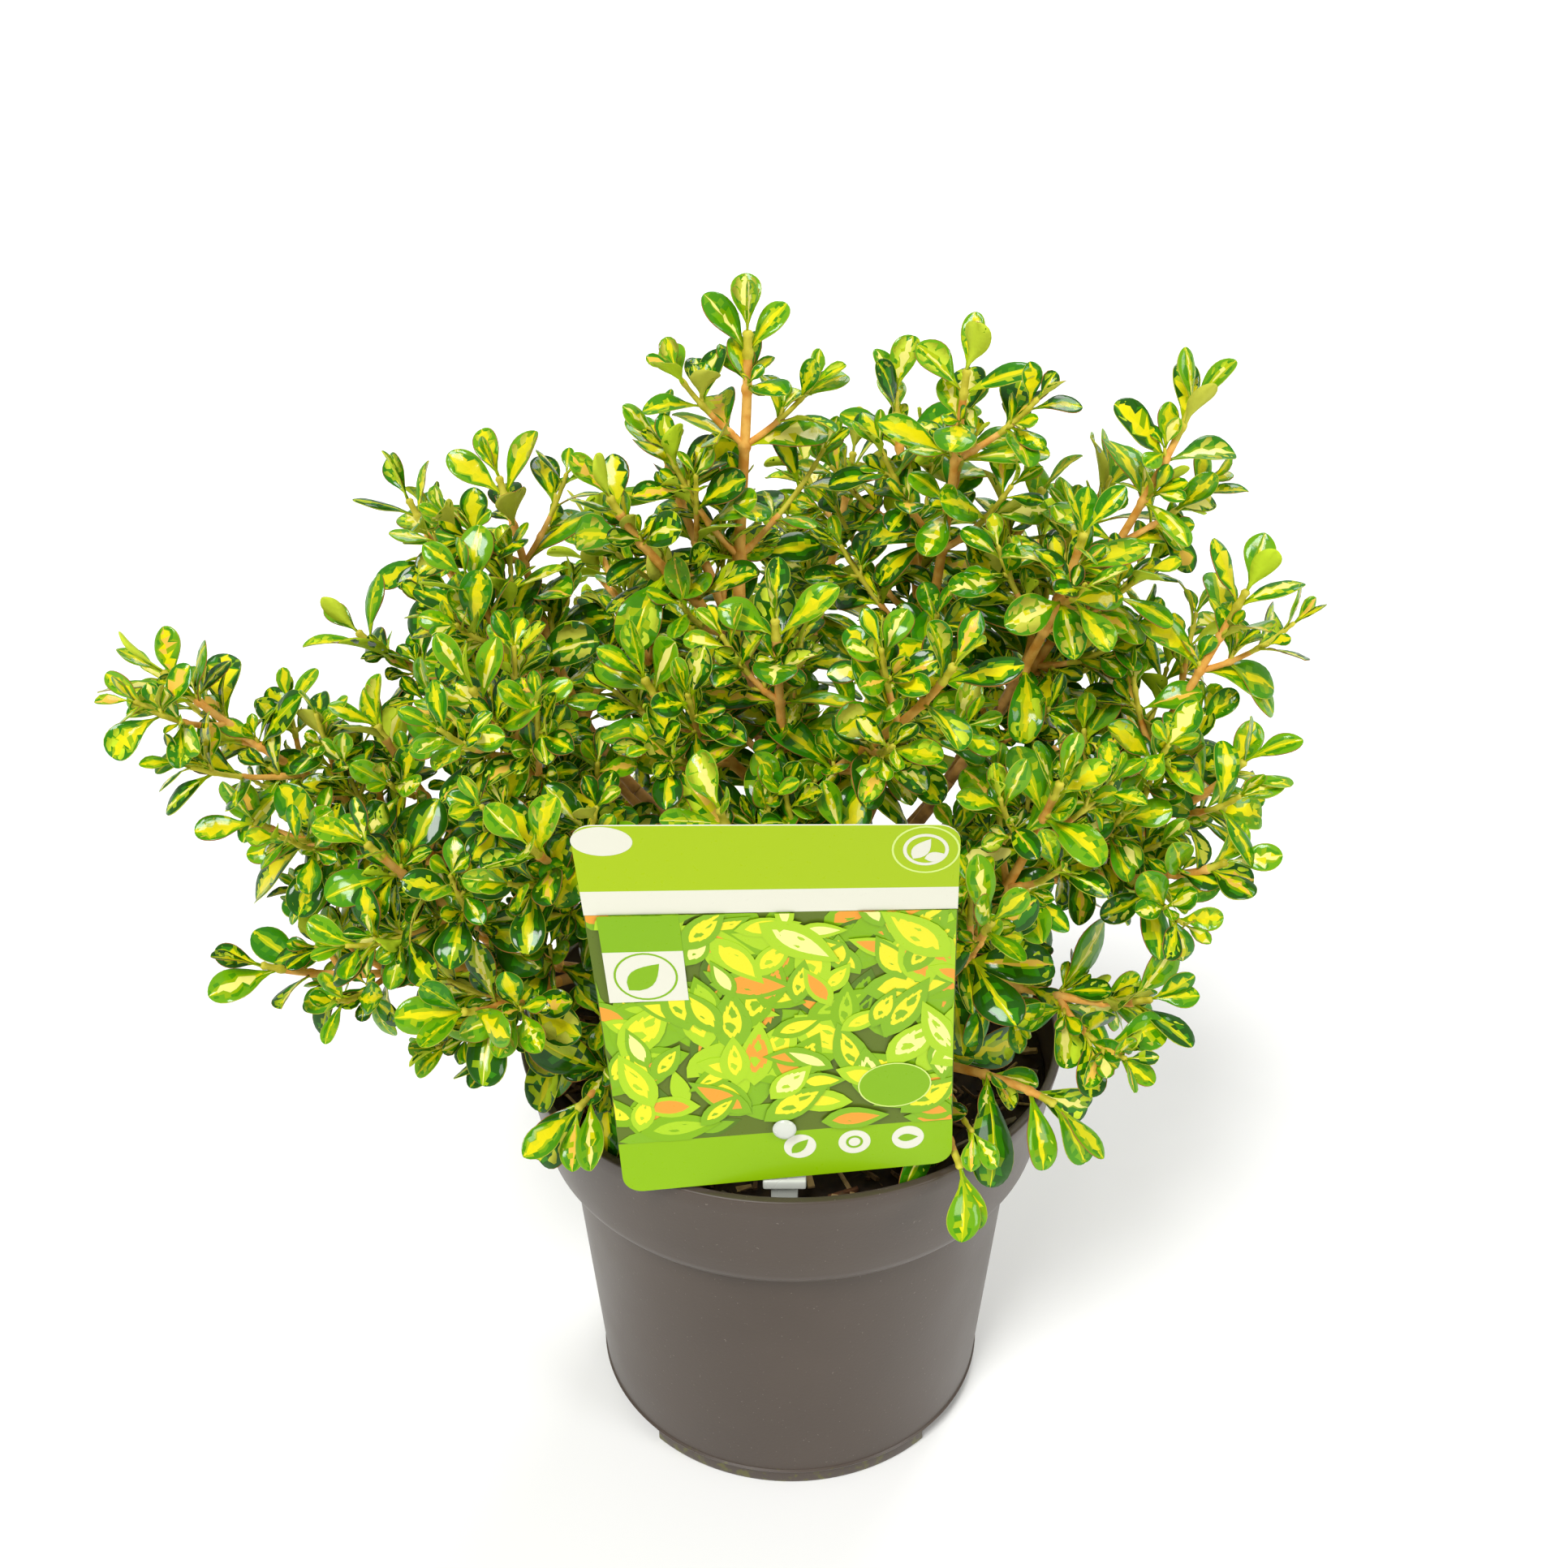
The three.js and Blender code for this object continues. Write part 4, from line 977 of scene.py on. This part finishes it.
# Plant pieces
GROUPS = (
    ("left", ("left", "left_front", "low_left", "rim_left")),
    ("back_left", ("shoulder", "back_left", "back_mid")),
    ("top", ("leader", "spire", "low_right")),
    ("middle", ("back", "centre", "low_back")),
    ("front", ("front", "front_left", "front_right", "rim_right")),
    ("right", ("crest", "right", "back_right")),
)
TAN, ORANGE, FRESH, BROWN = range(4)
ORANGE_SHARE = 0.55
# For each kind of twig: its sides, and the shares of its length up to which it is brown and
# from which it is fresh
TWIG_LOOKS = {"main": (8, 0.16, 0.86), "side": (6, 0, 0.45), "axil": (6, 0, -1)}
STEM_SIDES = 24
BOUGH_SIDES = 10
STEM_DOWN = 2
BOUGH_IN = 4.0  # how far a bough's foot is sunk into the stem
BOUGH_RADII = ((0, 0.12, 1), (3.0, BOUGH_BASE_RADIUS, BOUGH_END_RADIUS))
RIDGES = 7
RIDGE_HEIGHT = 0.035


def build_leaves(plant):
    rng = np.random.default_rng(SEED + 1)
    materials = [leaf_finish(f"leaf_{zone}_{k + 1}", tint, roughness, coat)
                 for zone, tints, _, roughness, coat in LEAF_TINTS for k, tint in enumerate(tints)]
    for group, members in GROUPS:
        limbs = {plant.names.index(member) for member in members}
        mine = [leaf for leaf in plant.leaves if leaf.limb in limbs]
        parts = []
        for is_big, stations in ((True, BIG_STATIONS), (False, SMALL_STATIONS)):
            chosen = [leaf for leaf in mine if (leaf.length >= SHORTEST_BIG) is is_big]
            points, quads, zones = leaf_arrays(chosen, stations, rng)
            tints = tint_zones(chosen, zones, rng)
            count, size = points.shape[:2]
            quads = quads + (np.arange(count) * size)[:, None, None]
            parts.append((points.reshape(-1, 3), quads.reshape(-1, 4), tints.ravel()))
        nodes = [f"foliage_{member}" for member in members]
        add_quads(f"leaves_{group}", nodes, parts, materials)


def build_twigs(plant):
    materials = [
        bark("twig_tan", "#cd8830", "#e4ae54"),
        bark("twig_orange", "#de9a40", "#f0ba64"),
        bark("twig_green", "#b4a828", "#cec440", 0.5),
        bark("twig_brown", "#9c6e38", "#bf8e4e"),
    ]
    rng = np.random.default_rng(SEED + 2)
    parts = []
    for path, radii, kind in plant.twigs:
        sides, brown_to, fresh_from = TWIG_LOOKS[kind]
        points, quads = tube(path, radii, sides)
        share = np.minimum(np.arange(len(quads)) // sides / (len(path) - 1), 1.0)
        tints = np.where(share > fresh_from, FRESH, ORANGE if rng.random() < ORANGE_SHARE else TAN)
        tints[share < brown_to] = BROWN
        parts.append((points, quads, tints))
    add_quads("twigs", [f"foliage_{name}" for name in plant.names], parts, materials)


def ridges(seed):
    """The relief of a limb's bark: ridges that wander as they run along it."""
    phases = np.random.default_rng(seed).uniform(0, PHASES, (RIDGES, 3))

    def relief(i, angles):
        grown = np.ones_like(angles)
        for k, (a, b, c) in enumerate(phases):
            wander = a + 0.35 * i * math.sin(b) + c
            grown = grown + RIDGE_HEIGHT * np.sin((k + 2) * angles + wander) / (1 + 0.2 * k)
        return grown + 0.02 * math.sin(i * 1.9 + phases[0][0])

    return relief


def build_limbs(plant):
    """The main stem and boughs as one mesh with the bark's ridges, boughs sunk into the stem."""
    shares = np.linspace(0, 1, 40)
    path = np.array([stem_point(s) for s in shares])
    path[0][2] = SOIL_HEIGHT - STEM_DOWN
    parts = [(*tube(path, stem_radius(shares), STEM_SIDES, ridges(SEED)), 0)]
    for k, bones in enumerate(plant.skeletons):
        bough = bones["bough"]
        root = bough[0] - unit(bough[1] - bough[0]) * BOUGH_IN
        line = Line([root, *bough])
        places = np.linspace(0, line.length, 24)
        path = np.array([line.at(p)[0] for p in places])
        radii = np.interp(places / line.length, *BOUGH_RADII)
        parts.append((*tube(path, radii, BOUGH_SIDES, ridges(SEED + 10 + k)), 0))
    nodes = ["main_stem"] + [f"bough_{name}" for name in plant.names]
    add_quads("stem_and_boughs", nodes, parts, [bark("bark", "#72502c", "#a87c48", 0.8)])


# Pot
POT_SEGMENTS = 160
# Corners of the foot, from its radius and the ground, and of the bead above it, from the foot of
# the body
FOOT_CORNER = ((-1.2, 0), (-0.3, 0.4), (0, 1.4))
BEAD = ((-0.4, -0.9), (0.5, -0.2), (0.7, 0.3), (0.1, 0.9))
SHOULDER_PULL = ((2.4, 0.5), (0.6, 4.4))  # how far the shoulder's curve runs on from either end
LIP_ROUNDING = 0.8
INNER_LIP_ROUNDING = 0.6
CUTOUT_EDGE = 1.2  # degrees over which a cut-out begins


def straight(low, high, parts):
    """The points that divide the way between two points into equal parts."""
    return [tuple(point) for point in np.linspace(low, high, parts + 1)[1:-1]]


def quarter(radius, height, rounding, from_angle):
    """A quarter of a circle round a middle, as points."""
    angles = from_angle + np.linspace(0, math.pi / 2, 5)
    return [(radius + rounding * math.cos(a), height + rounding * math.sin(a)) for a in angles]


def pot_profile():
    """Radius and height of the pot's outline, from the axis below to the axis inside."""
    shoulder_low, shoulder_high = (BODY_RADIUS_HIGH, BODY_HEIGHT), (COLLAR_RADIUS_LOW, COLLAR_HEIGHT)
    low, high = np.array(shoulder_low), np.array(shoulder_high)
    handles = low, low + SHOULDER_PULL[0], high - SHOULDER_PULL[1], high
    inner_rim = RIM_RADIUS - RIM_WIDTH
    return [
        (0, 0), (FOOT_RADIUS * 0.5, 0),
        *((FOOT_RADIUS + out, up) for out, up in FOOT_CORNER),
        *((BODY_RADIUS_LOW + out, FOOT_HEIGHT + up) for out, up in BEAD),
        *straight((BODY_RADIUS_LOW, FOOT_HEIGHT), shoulder_low, 8),
        (BODY_RADIUS_HIGH, BODY_HEIGHT - 0.5),
        *(tuple(point) for point in bezier(handles, np.linspace(0, 1, 9))),
        *straight(shoulder_high, (RIM_RADIUS, POT_HEIGHT), 5),
        *quarter(RIM_RADIUS - LIP_ROUNDING, POT_HEIGHT - LIP_ROUNDING, LIP_ROUNDING, 0),
        *quarter(inner_rim + INNER_LIP_ROUNDING, POT_HEIGHT - INNER_LIP_ROUNDING,
                 INNER_LIP_ROUNDING, math.pi / 2),
        (inner_rim, POT_HEIGHT - 2.4), (inner_rim - 0.2, POT_HEIGHT - RIM_WIDTH),
        (COLLAR_RADIUS_LOW - POT_WALL, COLLAR_HEIGHT + SHOULDER_LIFT),
        (SHOULDER[0] - POT_WALL, SHOULDER[1] + SHOULDER_LIFT),
        (BODY_RADIUS_HIGH - POT_WALL, BODY_HEIGHT + SHOULDER_LIFT),
        (BODY_RADIUS_LOW - POT_WALL, POT_FLOOR), (FOOT_RADIUS * 0.5, POT_FLOOR), (0, POT_FLOOR),
    ]


def cut_away(angle):
    """How much of the foot is cut away at an angle round the pot, from 0 to 1."""
    from_side = abs((math.degrees(angle) + 90) % 180 - 90)
    return min(max((CUTOUT_SPAN / 2 - from_side) / CUTOUT_EDGE + 0.5, 0), 1)


def pot_finish():
    """Taupe plastic, faintly clouded, with pale specks and some moss at the foot."""
    finish = Finish("pot_plastic", "#463b32", 0.42, specular=0.35, coat=0.15, coat_roughness=0.3)
    cloud = finish.noise(26.0, 4.0)
    base = finish.ramp(cloud, ((0.3, "#443930"), (0.7, "#4a3f36")))
    specks = finish.spread(finish.noise(1100.0, 1.0), 0.74, 0.78, 0.0, 0.45)
    height = finish.node("SeparateXYZ", {}, {"Vector": finish.place()}).outputs["Z"]
    low_down = finish.spread(height, 0.004, 0.012, 0.2, -0.1)
    both = finish.nodes.new("ShaderNodeMath")
    both.operation = "ADD"
    finish.links.new(finish.noise(230.0, 5.0), both.inputs[0])
    finish.links.new(low_down, both.inputs[1])
    moss = finish.spread(both.outputs["Value"], 0.72, 0.8, 0.0, 0.8)
    with_specks = finish.blend(specks, base, "#8a8074")
    finish.drive("Base Color", finish.blend(moss, with_specks, "#5c5a20"))
    finish.drive("Roughness", finish.spread(cloud, 0.3, 0.7, 0.36, 0.46))
    finish.bump(finish.noise(900.0, 2.0), 0.0001, 0.35)
    return finish.material


def build_pot():
    profile = pot_profile()
    points = []
    for radius, height in profile:
        in_foot = height < FOOT_HEIGHT - 0.1 and radius > FOOT_RADIUS - 2
        for angle in round_angles(POT_SEGMENTS):
            grown = radius - in_foot * cut_away(angle) * CUTOUT_DEPTH
            points.append((grown * math.cos(angle), grown * math.sin(angle), height))
    faces = ring_faces(len(profile), POT_SEGMENTS, tips=(0, len(profile) - 1))
    add_solid("pot_smooth", "pot", points, faces, [pot_finish()], sharp=35)


# Soil
SOIL_RADIUS = 89.7
SOIL_REACH = 91.0
SOIL_RINGS = 46
SOIL_SIDES = 96
SOIL_FIRST_RING = 0.3
SOIL_SLOPE_END = 90
SOIL_ROUGHNESS = 0.9
SOIL_TAPER = 0.975
SOIL_SKIRT = 12.0
CHIP_COUNT = 900
CHIP_REACH = 88
CHIP_LIMIT = 89
CHIP_LENGTH = (3, 13)
CHIP_WIDTH = (0.9, 3.8)
CHIP_THICKNESS = (0.5, 1.6)
CHIP_PITCH = 0.22
CHIP_ROLL = 0.3
CHIP_LIFT = (0.1, 1.6)
CHIP_TAPER = (0.3, 0.9)
# Each finish: its two colours and the share of the chips that have it
SOIL_LOOKS = (("soil_dark", "#1d1610", "#33271c", 0.2), ("chip_brown", "#412f20", "#654d34", 0.34),
              ("chip_red", "#3f2619", "#66432a", 0.2), ("chip_tan", "#846a45", "#b69868", 0.14),
              ("chip_grey", "#5e5548", "#8d8270", 0.12))


def soil_height(x, y):
    fall = (math.hypot(x, y) - SOIL_FLAT_RADIUS) / (SOIL_SLOPE_END - SOIL_FLAT_RADIUS)
    level = SOIL_HEIGHT + (SOIL_EDGE - SOIL_HEIGHT) * min(max(fall, 0), 1)
    rough = (math.sin(0.31 * x + 1.3) * math.cos(0.27 * y) + math.sin(0.83 * x - 0.5 * y)
             + 0.7 * math.sin(1.9 * x + 1.1 * y) * math.cos(1.7 * y))
    return level + SOIL_ROUGHNESS * rough


def chip_corners(rng):
    """The eight corners of one rough chip of bark, or none where it would reach the pot."""
    reach = CHIP_REACH * math.sqrt(rng.random())
    angle = rng.uniform(0, 2 * math.pi)
    x, y = reach * math.cos(angle), reach * math.sin(angle)
    long = rng.uniform(*CHIP_LENGTH) * (0.6 + 0.4 * rng.random())
    wide = min(rng.uniform(*CHIP_WIDTH), long * 0.6)
    thin = rng.uniform(*CHIP_THICKNESS)
    if math.hypot(x, y) + long / 2 > CHIP_LIMIT:
        return []
    heading = rng.uniform(0, 2 * math.pi)
    pitch = rng.normal(0, CHIP_PITCH)
    roll = rng.normal(0, CHIP_ROLL)
    level = np.array([math.cos(heading), math.sin(heading), 0.0])
    forward = level * math.cos(pitch) + UP * math.sin(pitch)
    flat = unit(np.cross(UP, forward))
    steep = np.cross(forward, flat)
    side = flat * math.cos(roll) + steep * math.sin(roll)
    top = steep * math.cos(roll) - flat * math.sin(roll)
    centre = np.array([x, y, soil_height(x, y) + rng.uniform(*CHIP_LIFT)])
    corners = []
    for u in (-1, 1):
        taper = rng.uniform(*CHIP_TAPER)
        for v, w in ((-1, -1), (1, -1), (1, 1), (-1, 1)):
            corners.append(centre + forward * u * long / 2
                           + side * v * wide / 2 * taper * rng.uniform(0.8, 1.1)
                           + top * w * thin / 2 * rng.uniform(0.7, 1.1))
    return corners


def build_soil():
    rng = np.random.default_rng(SEED + 3)
    points = []
    for i in range(SOIL_RINGS):
        reach = max(SOIL_REACH * i / (SOIL_RINGS - 1), SOIL_FIRST_RING)
        scale = min(1.0, SOIL_RADIUS / max(reach, 1))
        for angle in round_angles(SOIL_SIDES):
            x, y = reach * math.cos(angle), reach * math.sin(angle)
            points.append((x * scale, y * scale, soil_height(x, y)))
    points += [(x * SOIL_TAPER, y * SOIL_TAPER, SOIL_EDGE - SOIL_SKIRT)
               for x, y, _ in points[-SOIL_SIDES:]]
    faces = capped(SOIL_RINGS + 1, SOIL_SIDES)
    tints = [0] * len(faces)
    shares = [share for *_, share in SOIL_LOOKS]
    chip_faces = capped(2, 4)
    for _ in range(CHIP_COUNT):
        corners = chip_corners(rng)
        if corners:
            faces += [[len(points) + v for v in face] for face in chip_faces]
            tints += [int(rng.choice(len(shares), p=shares))] * len(chip_faces)
            points += corners
    materials = [bark(name, low, high, 0.88) for name, low, high, _ in SOIL_LOOKS]
    add_solid("soil_chips", "soil", points, faces, materials, tints, sharp=30)


# Card
CARD_SHEET = 0.6  # thickness as drawn
CARD_COLUMNS = 15
CARD_ROWS = 33
INK_THICKNESS = 0.12
# The lower edge of each printed band, and its ink
CARD_BANDS = ((46.6, "lime"), (38.0, "white"), (-50.6, "ground"), (-70.0, "low"))
CARD_INKS = {
    "lime": "#a2be08", "low": "#88b404", "white": "#dcdbca", "ground": "#5c6e20",
    "deep": "#7fae10", "shade": "#55741c", "leaf": "#7fae1c", "fresh": "#a6cc22",
    "lemon": "#e6de2a", "cream": "#eee98c", "orange": "#e89a34", "pale": "#cfe27e",
}
INK_NAMES = list(CARD_INKS)
# A plain field of leaves: its limits, and for each layer the number of leaves, their inks and
# the inks of their middles, the dark ones at the back and lemon and cream ones in front
PICTURE = ((-50.2, -50.5), (50.2, 37.9))
LAYERS = ((70, ("shade", "leaf", "deep"), ("leaf", "orange", "deep")),
          (80, ("leaf", "fresh", "deep"), ("lemon", "fresh", "orange")),
          (60, ("fresh", "leaf"), ("lemon", "cream", "lemon", "orange")))
FIELD_ACROSS = (-52, 52)
FIELD_UP = (-52, 40)
FIELD_LENGTHS = (14, 28)
FIELD_WIDTHS = (0.36, 0.5)
FIELD_HEADING = (1.2, 1.1)
LAYER_LEAVES = 80
FIRST_LIFT = 0.04
LIFT_STEP = 0.0035
# Plain shapes over it, by their places on the card. Panels: left, right, low, high, ink, lift
CARD_PANELS = ((-47.0, -24.6, 24.6, 37.9, "deep", 0.86), (-47.0, -24.6, 5.6, 24.6, "white", 0.86))
# Discs and rings: middle, radius, ink, lift, height over width, hole as a share of the size
CARD_DISCS = (
    (-35.8, 15.2, 9.0, "deep", 0.90, 1, 0.93), (-42.4, 64.6, 8.2, "white", 0.08, 0.62, 0),
    (41.7, 60.9, 8.8, "pale", 0.08, 1, 0.94), (41.7, 60.9, 5.9, "white", 0.08, 1, 0.84),
    (33.1, -33.3, 10.9, "deep", 0.86, 0.86, 0), (33.1, -33.3, 10.9, "pale", 0.90, 0.86, 0.96),
    (4.0, -57.2, 4.9, "white", 0.08, 1, 0), (20.6, -57.2, 4.9, "white", 0.08, 1, 0),
    (36.9, -57.2, 4.9, "white", 0.08, 1, 0), (20.6, -57.2, 2.6, "deep", 0.14, 1, 0.7),
)
# Leaves: root, length, width, heading in degrees, ink, lift
CARD_LEAVES = (
    (-41.0, 10.2, 13.5, 7.6, 46, "deep", 0.90), (38.4, 57.6, 8.6, 4.4, 58, "white", 0.08),
    (41.4, 57.6, 5.8, 3.6, 14, "white", 0.12), (1.4, -59.8, 7.4, 3.6, 45, "deep", 0.14),
    (33.8, -57.2, 6.2, 3.2, 0, "deep", 0.14),
)


def on_card(across, up, lift=0.0):
    """A place on the card's face, or in front of it by a lift."""
    depth = card_depth(across, up) - CARD_THICKNESS / 2 - lift
    x = across * math.cos(CARD_ROLL) - up * math.sin(CARD_ROLL)
    z = up * math.cos(CARD_ROLL) + across * math.sin(CARD_ROLL)
    return CARD_CENTRE + np.array([x, depth, z])


def card_rows():
    """The heights of the card's rows: close in its corners, and one at each band's edge."""
    turns = np.linspace(0, math.pi / 2, 7)
    corner = [CARD_HEIGHT / 2 - CARD_CORNER * (1 - math.sin(a)) for a in turns]
    side = CARD_HEIGHT / 2 - CARD_CORNER
    bands = [low for low, _ in CARD_BANDS[:-1]]
    even = np.linspace(-side, side, CARD_ROWS).tolist()
    return sorted({*corner, *[-c for c in corner], *bands, *even})


def card_half_width(up):
    past = abs(up) - (CARD_HEIGHT / 2 - CARD_CORNER)
    if past <= 0:
        return CARD_WIDTH / 2
    return CARD_WIDTH / 2 - CARD_CORNER + math.sqrt(max(CARD_CORNER ** 2 - past ** 2, 0.04))


def card_finish(name, colour, roughness=0.32):
    finish = Finish(name, colour, roughness, specular=0.15, coat=0.1)
    finish.grain(700.0, 2.0, roughness - 0.05, roughness + 0.07, 0.00003, 0.4)
    return finish.material


def build_card_sheet(materials):
    """The card itself, as closed loops of points round its front and back, row by row."""
    rows = card_rows()
    inner_half = CARD_WIDTH / 2 - CARD_CORNER
    inner = np.linspace(-inner_half, inner_half, CARD_COLUMNS).tolist()
    points = []
    for up in rows:
        half = card_half_width(up)
        columns = [-half, *inner, half]
        points += [on_card(across, up) for across in columns]
        points += [on_card(across, up, -CARD_SHEET) for across in columns[::-1]]
    wide = CARD_COLUMNS + 2
    around = 2 * wide
    white = INK_NAMES.index("white")
    tints = []
    for low, high in zip(rows, rows[1:]):
        ink = next(ink for edge, ink in CARD_BANDS if (low + high) / 2 > edge)
        tints += [INK_NAMES.index(ink)] * (wide - 1) + [white] * (around - wide + 1)
    faces = ring_faces(len(rows), around)
    top = (len(rows) - 1) * around
    for c in range(wide - 1):
        end = [c, around - 1 - c, around - 2 - c, c + 1]
        faces += [end, [top + v for v in end[::-1]]]
        tints += [white, white]
    add_solid("card_sheet", "card", points, faces, materials, tints)


class CardPrint:
    """Thin printed shapes that lie on the card, as one mesh."""

    def __init__(self):
        self.points, self.faces, self.tints = [], [], []

    def shape(self, outline, centre, ink, lift, hole=0.0):
        """A thin plate of a filled outline, or of a ring of it when hole is a share of its size."""
        sides = len(outline)
        front = [(share, lift) for share in ((hole, 1.0) if hole else (0.0, 0.5, 1.0))]
        rings = front + [(share, lift - INK_THICKNESS) for share, _ in front[::-1]]
        start = len(self.points)
        for share, height in rings:
            places = centre + (outline - centre) * share
            self.points += [on_card(across, up, height) for across, up in places]
        count = len(rings)
        # A ring closes on itself, and a filled outline ends in a point in front and at the back
        faces = ring_faces(count + 1, sides) if hole else ring_faces(count, sides, (0, count - 1))
        self.faces += [[start + v % (count * sides) for v in face] for face in faces]
        self.tints += [INK_NAMES.index(ink)] * len(faces)

    def disc(self, x, y, radius, ink, lift, squash, hole):
        turns = round_angles(32)
        outline = np.stack([x + radius * np.cos(turns), y + radius * squash * np.sin(turns)], 1)
        self.shape(outline, np.array([x, y]), ink, lift, hole)

    def leaf(self, x, y, length, width, heading, ink, lift, within=None):
        """A printed leaf, cut off at the sides of a frame where it has one."""
        shares = np.linspace(0, 1, 8)
        half = width / 2 * np.sin(np.pi * shares ** 0.8)
        along = np.concatenate([shares, shares[-2:0:-1]]) * length
        aside = np.concatenate([half, -half[-2:0:-1]])
        c, s = math.cos(heading), math.sin(heading)
        outline = np.stack([x + along * c - aside * s, y + along * s + aside * c], 1)
        if within:
            outline = np.clip(outline, *within)
            if (outline.max(0) - outline.min(0)).min() < 2.0:
                return
        self.shape(outline, outline.mean(0), ink, lift)

    def panel(self, left, right, low, high, ink, lift, steps=6):
        """A rectangle, in strips that follow the card's bow."""
        xs, ys = np.linspace(left, right, steps + 1), np.linspace(low, high, steps + 1)
        outline = ([(x, low) for x in xs] + [(right, y) for y in ys[1:]]
                   + [(x, high) for x in xs[::-1][1:]] + [(left, y) for y in ys[::-1][1:-1]])
        centre = np.array([(left + right) / 2, (low + high) / 2])
        self.shape(np.array(outline), centre, ink, lift)


def build_card_print(materials):
    art = CardPrint()
    rng = np.random.default_rng(SEED + 4)
    for layer, (count, outer, inner) in enumerate(LAYERS):
        for k in range(count):
            x, y = rng.uniform(*FIELD_ACROSS), rng.uniform(*FIELD_UP)
            length = rng.uniform(*FIELD_LENGTHS)
            heading = rng.normal(*FIELD_HEADING)
            lift = FIRST_LIFT + LIFT_STEP * (k + LAYER_LEAVES * layer)
            wide = length * rng.uniform(*FIELD_WIDTHS)
            art.leaf(x, y, length, wide, heading, rng.choice(outer), lift, PICTURE)
            x, y = x + length * 0.16 * math.cos(heading), y + length * 0.16 * math.sin(heading)
            art.leaf(x, y, length * 0.7, wide * rng.uniform(0.45, 0.75), heading,
                     rng.choice(inner), lift + 0.002, PICTURE)
    for panel in CARD_PANELS:
        art.panel(*panel)
    for disc in CARD_DISCS:
        art.disc(*disc)
    for x, y, length, width, heading, ink, lift in CARD_LEAVES:
        art.leaf(x, y, length, width, math.radians(heading), ink, lift)
    add_solid("card_print", "card", art.points, art.faces, materials, art.tints)


def build_card():
    materials = [card_finish(f"card_{name}", colour) for name, colour in CARD_INKS.items()]
    build_card_sheet(materials)
    build_card_print(materials)


# Stake and its clip
STUD_SIDES = 32
STUD_TIP = 0.05
STUD_NECK = 2.0
# The stud's head: radii, and places behind the front of the stake's box
STUD_HEAD = ((STUD_TIP, -0.5), (1.4, -0.45), (2.6, -0.1), (3.4, 0.35), (3.6, 0.8), (3.4, 1.2),
             (STUD_NECK, 1.4))


def build_clip():
    """The stake with its bar, and the stud that holds the card."""
    finish = Finish("clear_plastic", "#dcdfd4", 0.3)
    for socket, value in (("Transmission Weight", 0.2), ("IOR", 1.49)):
        finish.inputs[socket].default_value = value
    finish.grain(60.0, 2.0, 0.22, 0.4, 0.0002, 0.2)
    low, _ = (np.array(corner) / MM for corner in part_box("stake"))
    stud_x, _, stud_z = on_card(*STUD_AT)
    top = stud_z + STAKE_ABOVE_STUD
    blocks = (
        ((stud_x, STAKE_FRONT + STAKE_THICKNESS / 2, (top + low[2]) / 2),
         (STAKE_WIDTH, STAKE_THICKNESS, top - low[2])),
        ((stud_x, STAKE_FRONT - BAR_FORWARD + BAR_DEPTH / 2, BAR_LEVEL),
         (BAR_WIDTH, BAR_DEPTH, BAR_HEIGHT)),
    )
    neck_end = STAKE_FRONT + STAKE_THICKNESS - 2.0
    profile = [(radius, low[1] + back) for radius, back in STUD_HEAD]
    profile += [(STUD_NECK, neck_end), (STUD_TIP, neck_end)]
    points = [(stud_x + radius * math.cos(a), y, stud_z + radius * math.sin(a))
              for radius, y in profile for a in round_angles(STUD_SIDES)]
    faces = capped(len(profile), STUD_SIDES)
    add_solid("clip", "stake", points, faces, [finish.material], blocks=blocks)


# Stage, in metres
FLOOR_REACH = 14.0
SUNS = (("key", (-0.5, -0.9, 1.6), 20, 2.35), ("fill", (1.2, -0.8, 0.9), 20, 0.8),
        ("back", (0.5, 1.2, 1.6), 26, 1.1))  # name, place, degrees across and strength
SUNS_AIM = (0, 0, 0.2)
WORLD_STRENGTH = 0.5
CAMERA_PLACE = (-0.0025, -0.490, 0.516)
CAMERA_DOWN = 28.7
SENSOR_WIDTH = 36
FOCAL_LENGTH = 39.2


def build_stage():
    scene = bpy.context.scene
    scene.view_settings.view_transform = "Standard"
    floor_mesh = bpy.data.meshes.new("floor")
    corners = [(x * FLOOR_REACH, y * FLOOR_REACH, 0) for x, y in ((-1, -1), (1, -1), (1, 1), (-1, 1))]
    floor_mesh.from_pydata(corners, [], [(0, 1, 2, 3)])
    floor_mesh.materials.append(Finish("floor_paper", "#f4f4f2", 0.8).material)
    floor = bpy.data.objects.new("floor", floor_mesh)
    scene.collection.objects.link(floor)

    scene.world = bpy.data.worlds.new("studio")
    scene.world.use_nodes = True
    background = scene.world.node_tree.nodes["Background"]
    background.inputs["Color"].default_value = (1, 1, 1, 1)
    background.inputs["Strength"].default_value = WORLD_STRENGTH

    for name, place, across, strength in SUNS:
        light = bpy.data.lights.new(name, "SUN")
        light.angle = math.radians(across)
        light.energy = strength
        lamp = bpy.data.objects.new(name, light)
        scene.collection.objects.link(lamp)
        lamp.location = place
        towards = Vector(SUNS_AIM) - Vector(place)
        lamp.rotation_euler = towards.to_track_quat("-Z", "Y").to_euler()

    camera = bpy.data.objects.new("camera", bpy.data.cameras.new("camera"))
    scene.collection.objects.link(camera)
    camera.location = CAMERA_PLACE
    camera.rotation_euler = (math.radians(90 - CAMERA_DOWN), 0, 0)
    camera.data.sensor_width = SENSOR_WIDTH
    camera.data.lens = FOCAL_LENGTH
    camera.data.clip_end = 60
    scene.camera = camera


build_stage()
plant = Plant([skeleton(*spec) for spec in LIMBS])
plant.grow()
build_leaves(plant)
build_twigs(plant)
build_limbs(plant)
build_pot()
build_soil()
build_card()
build_clip()
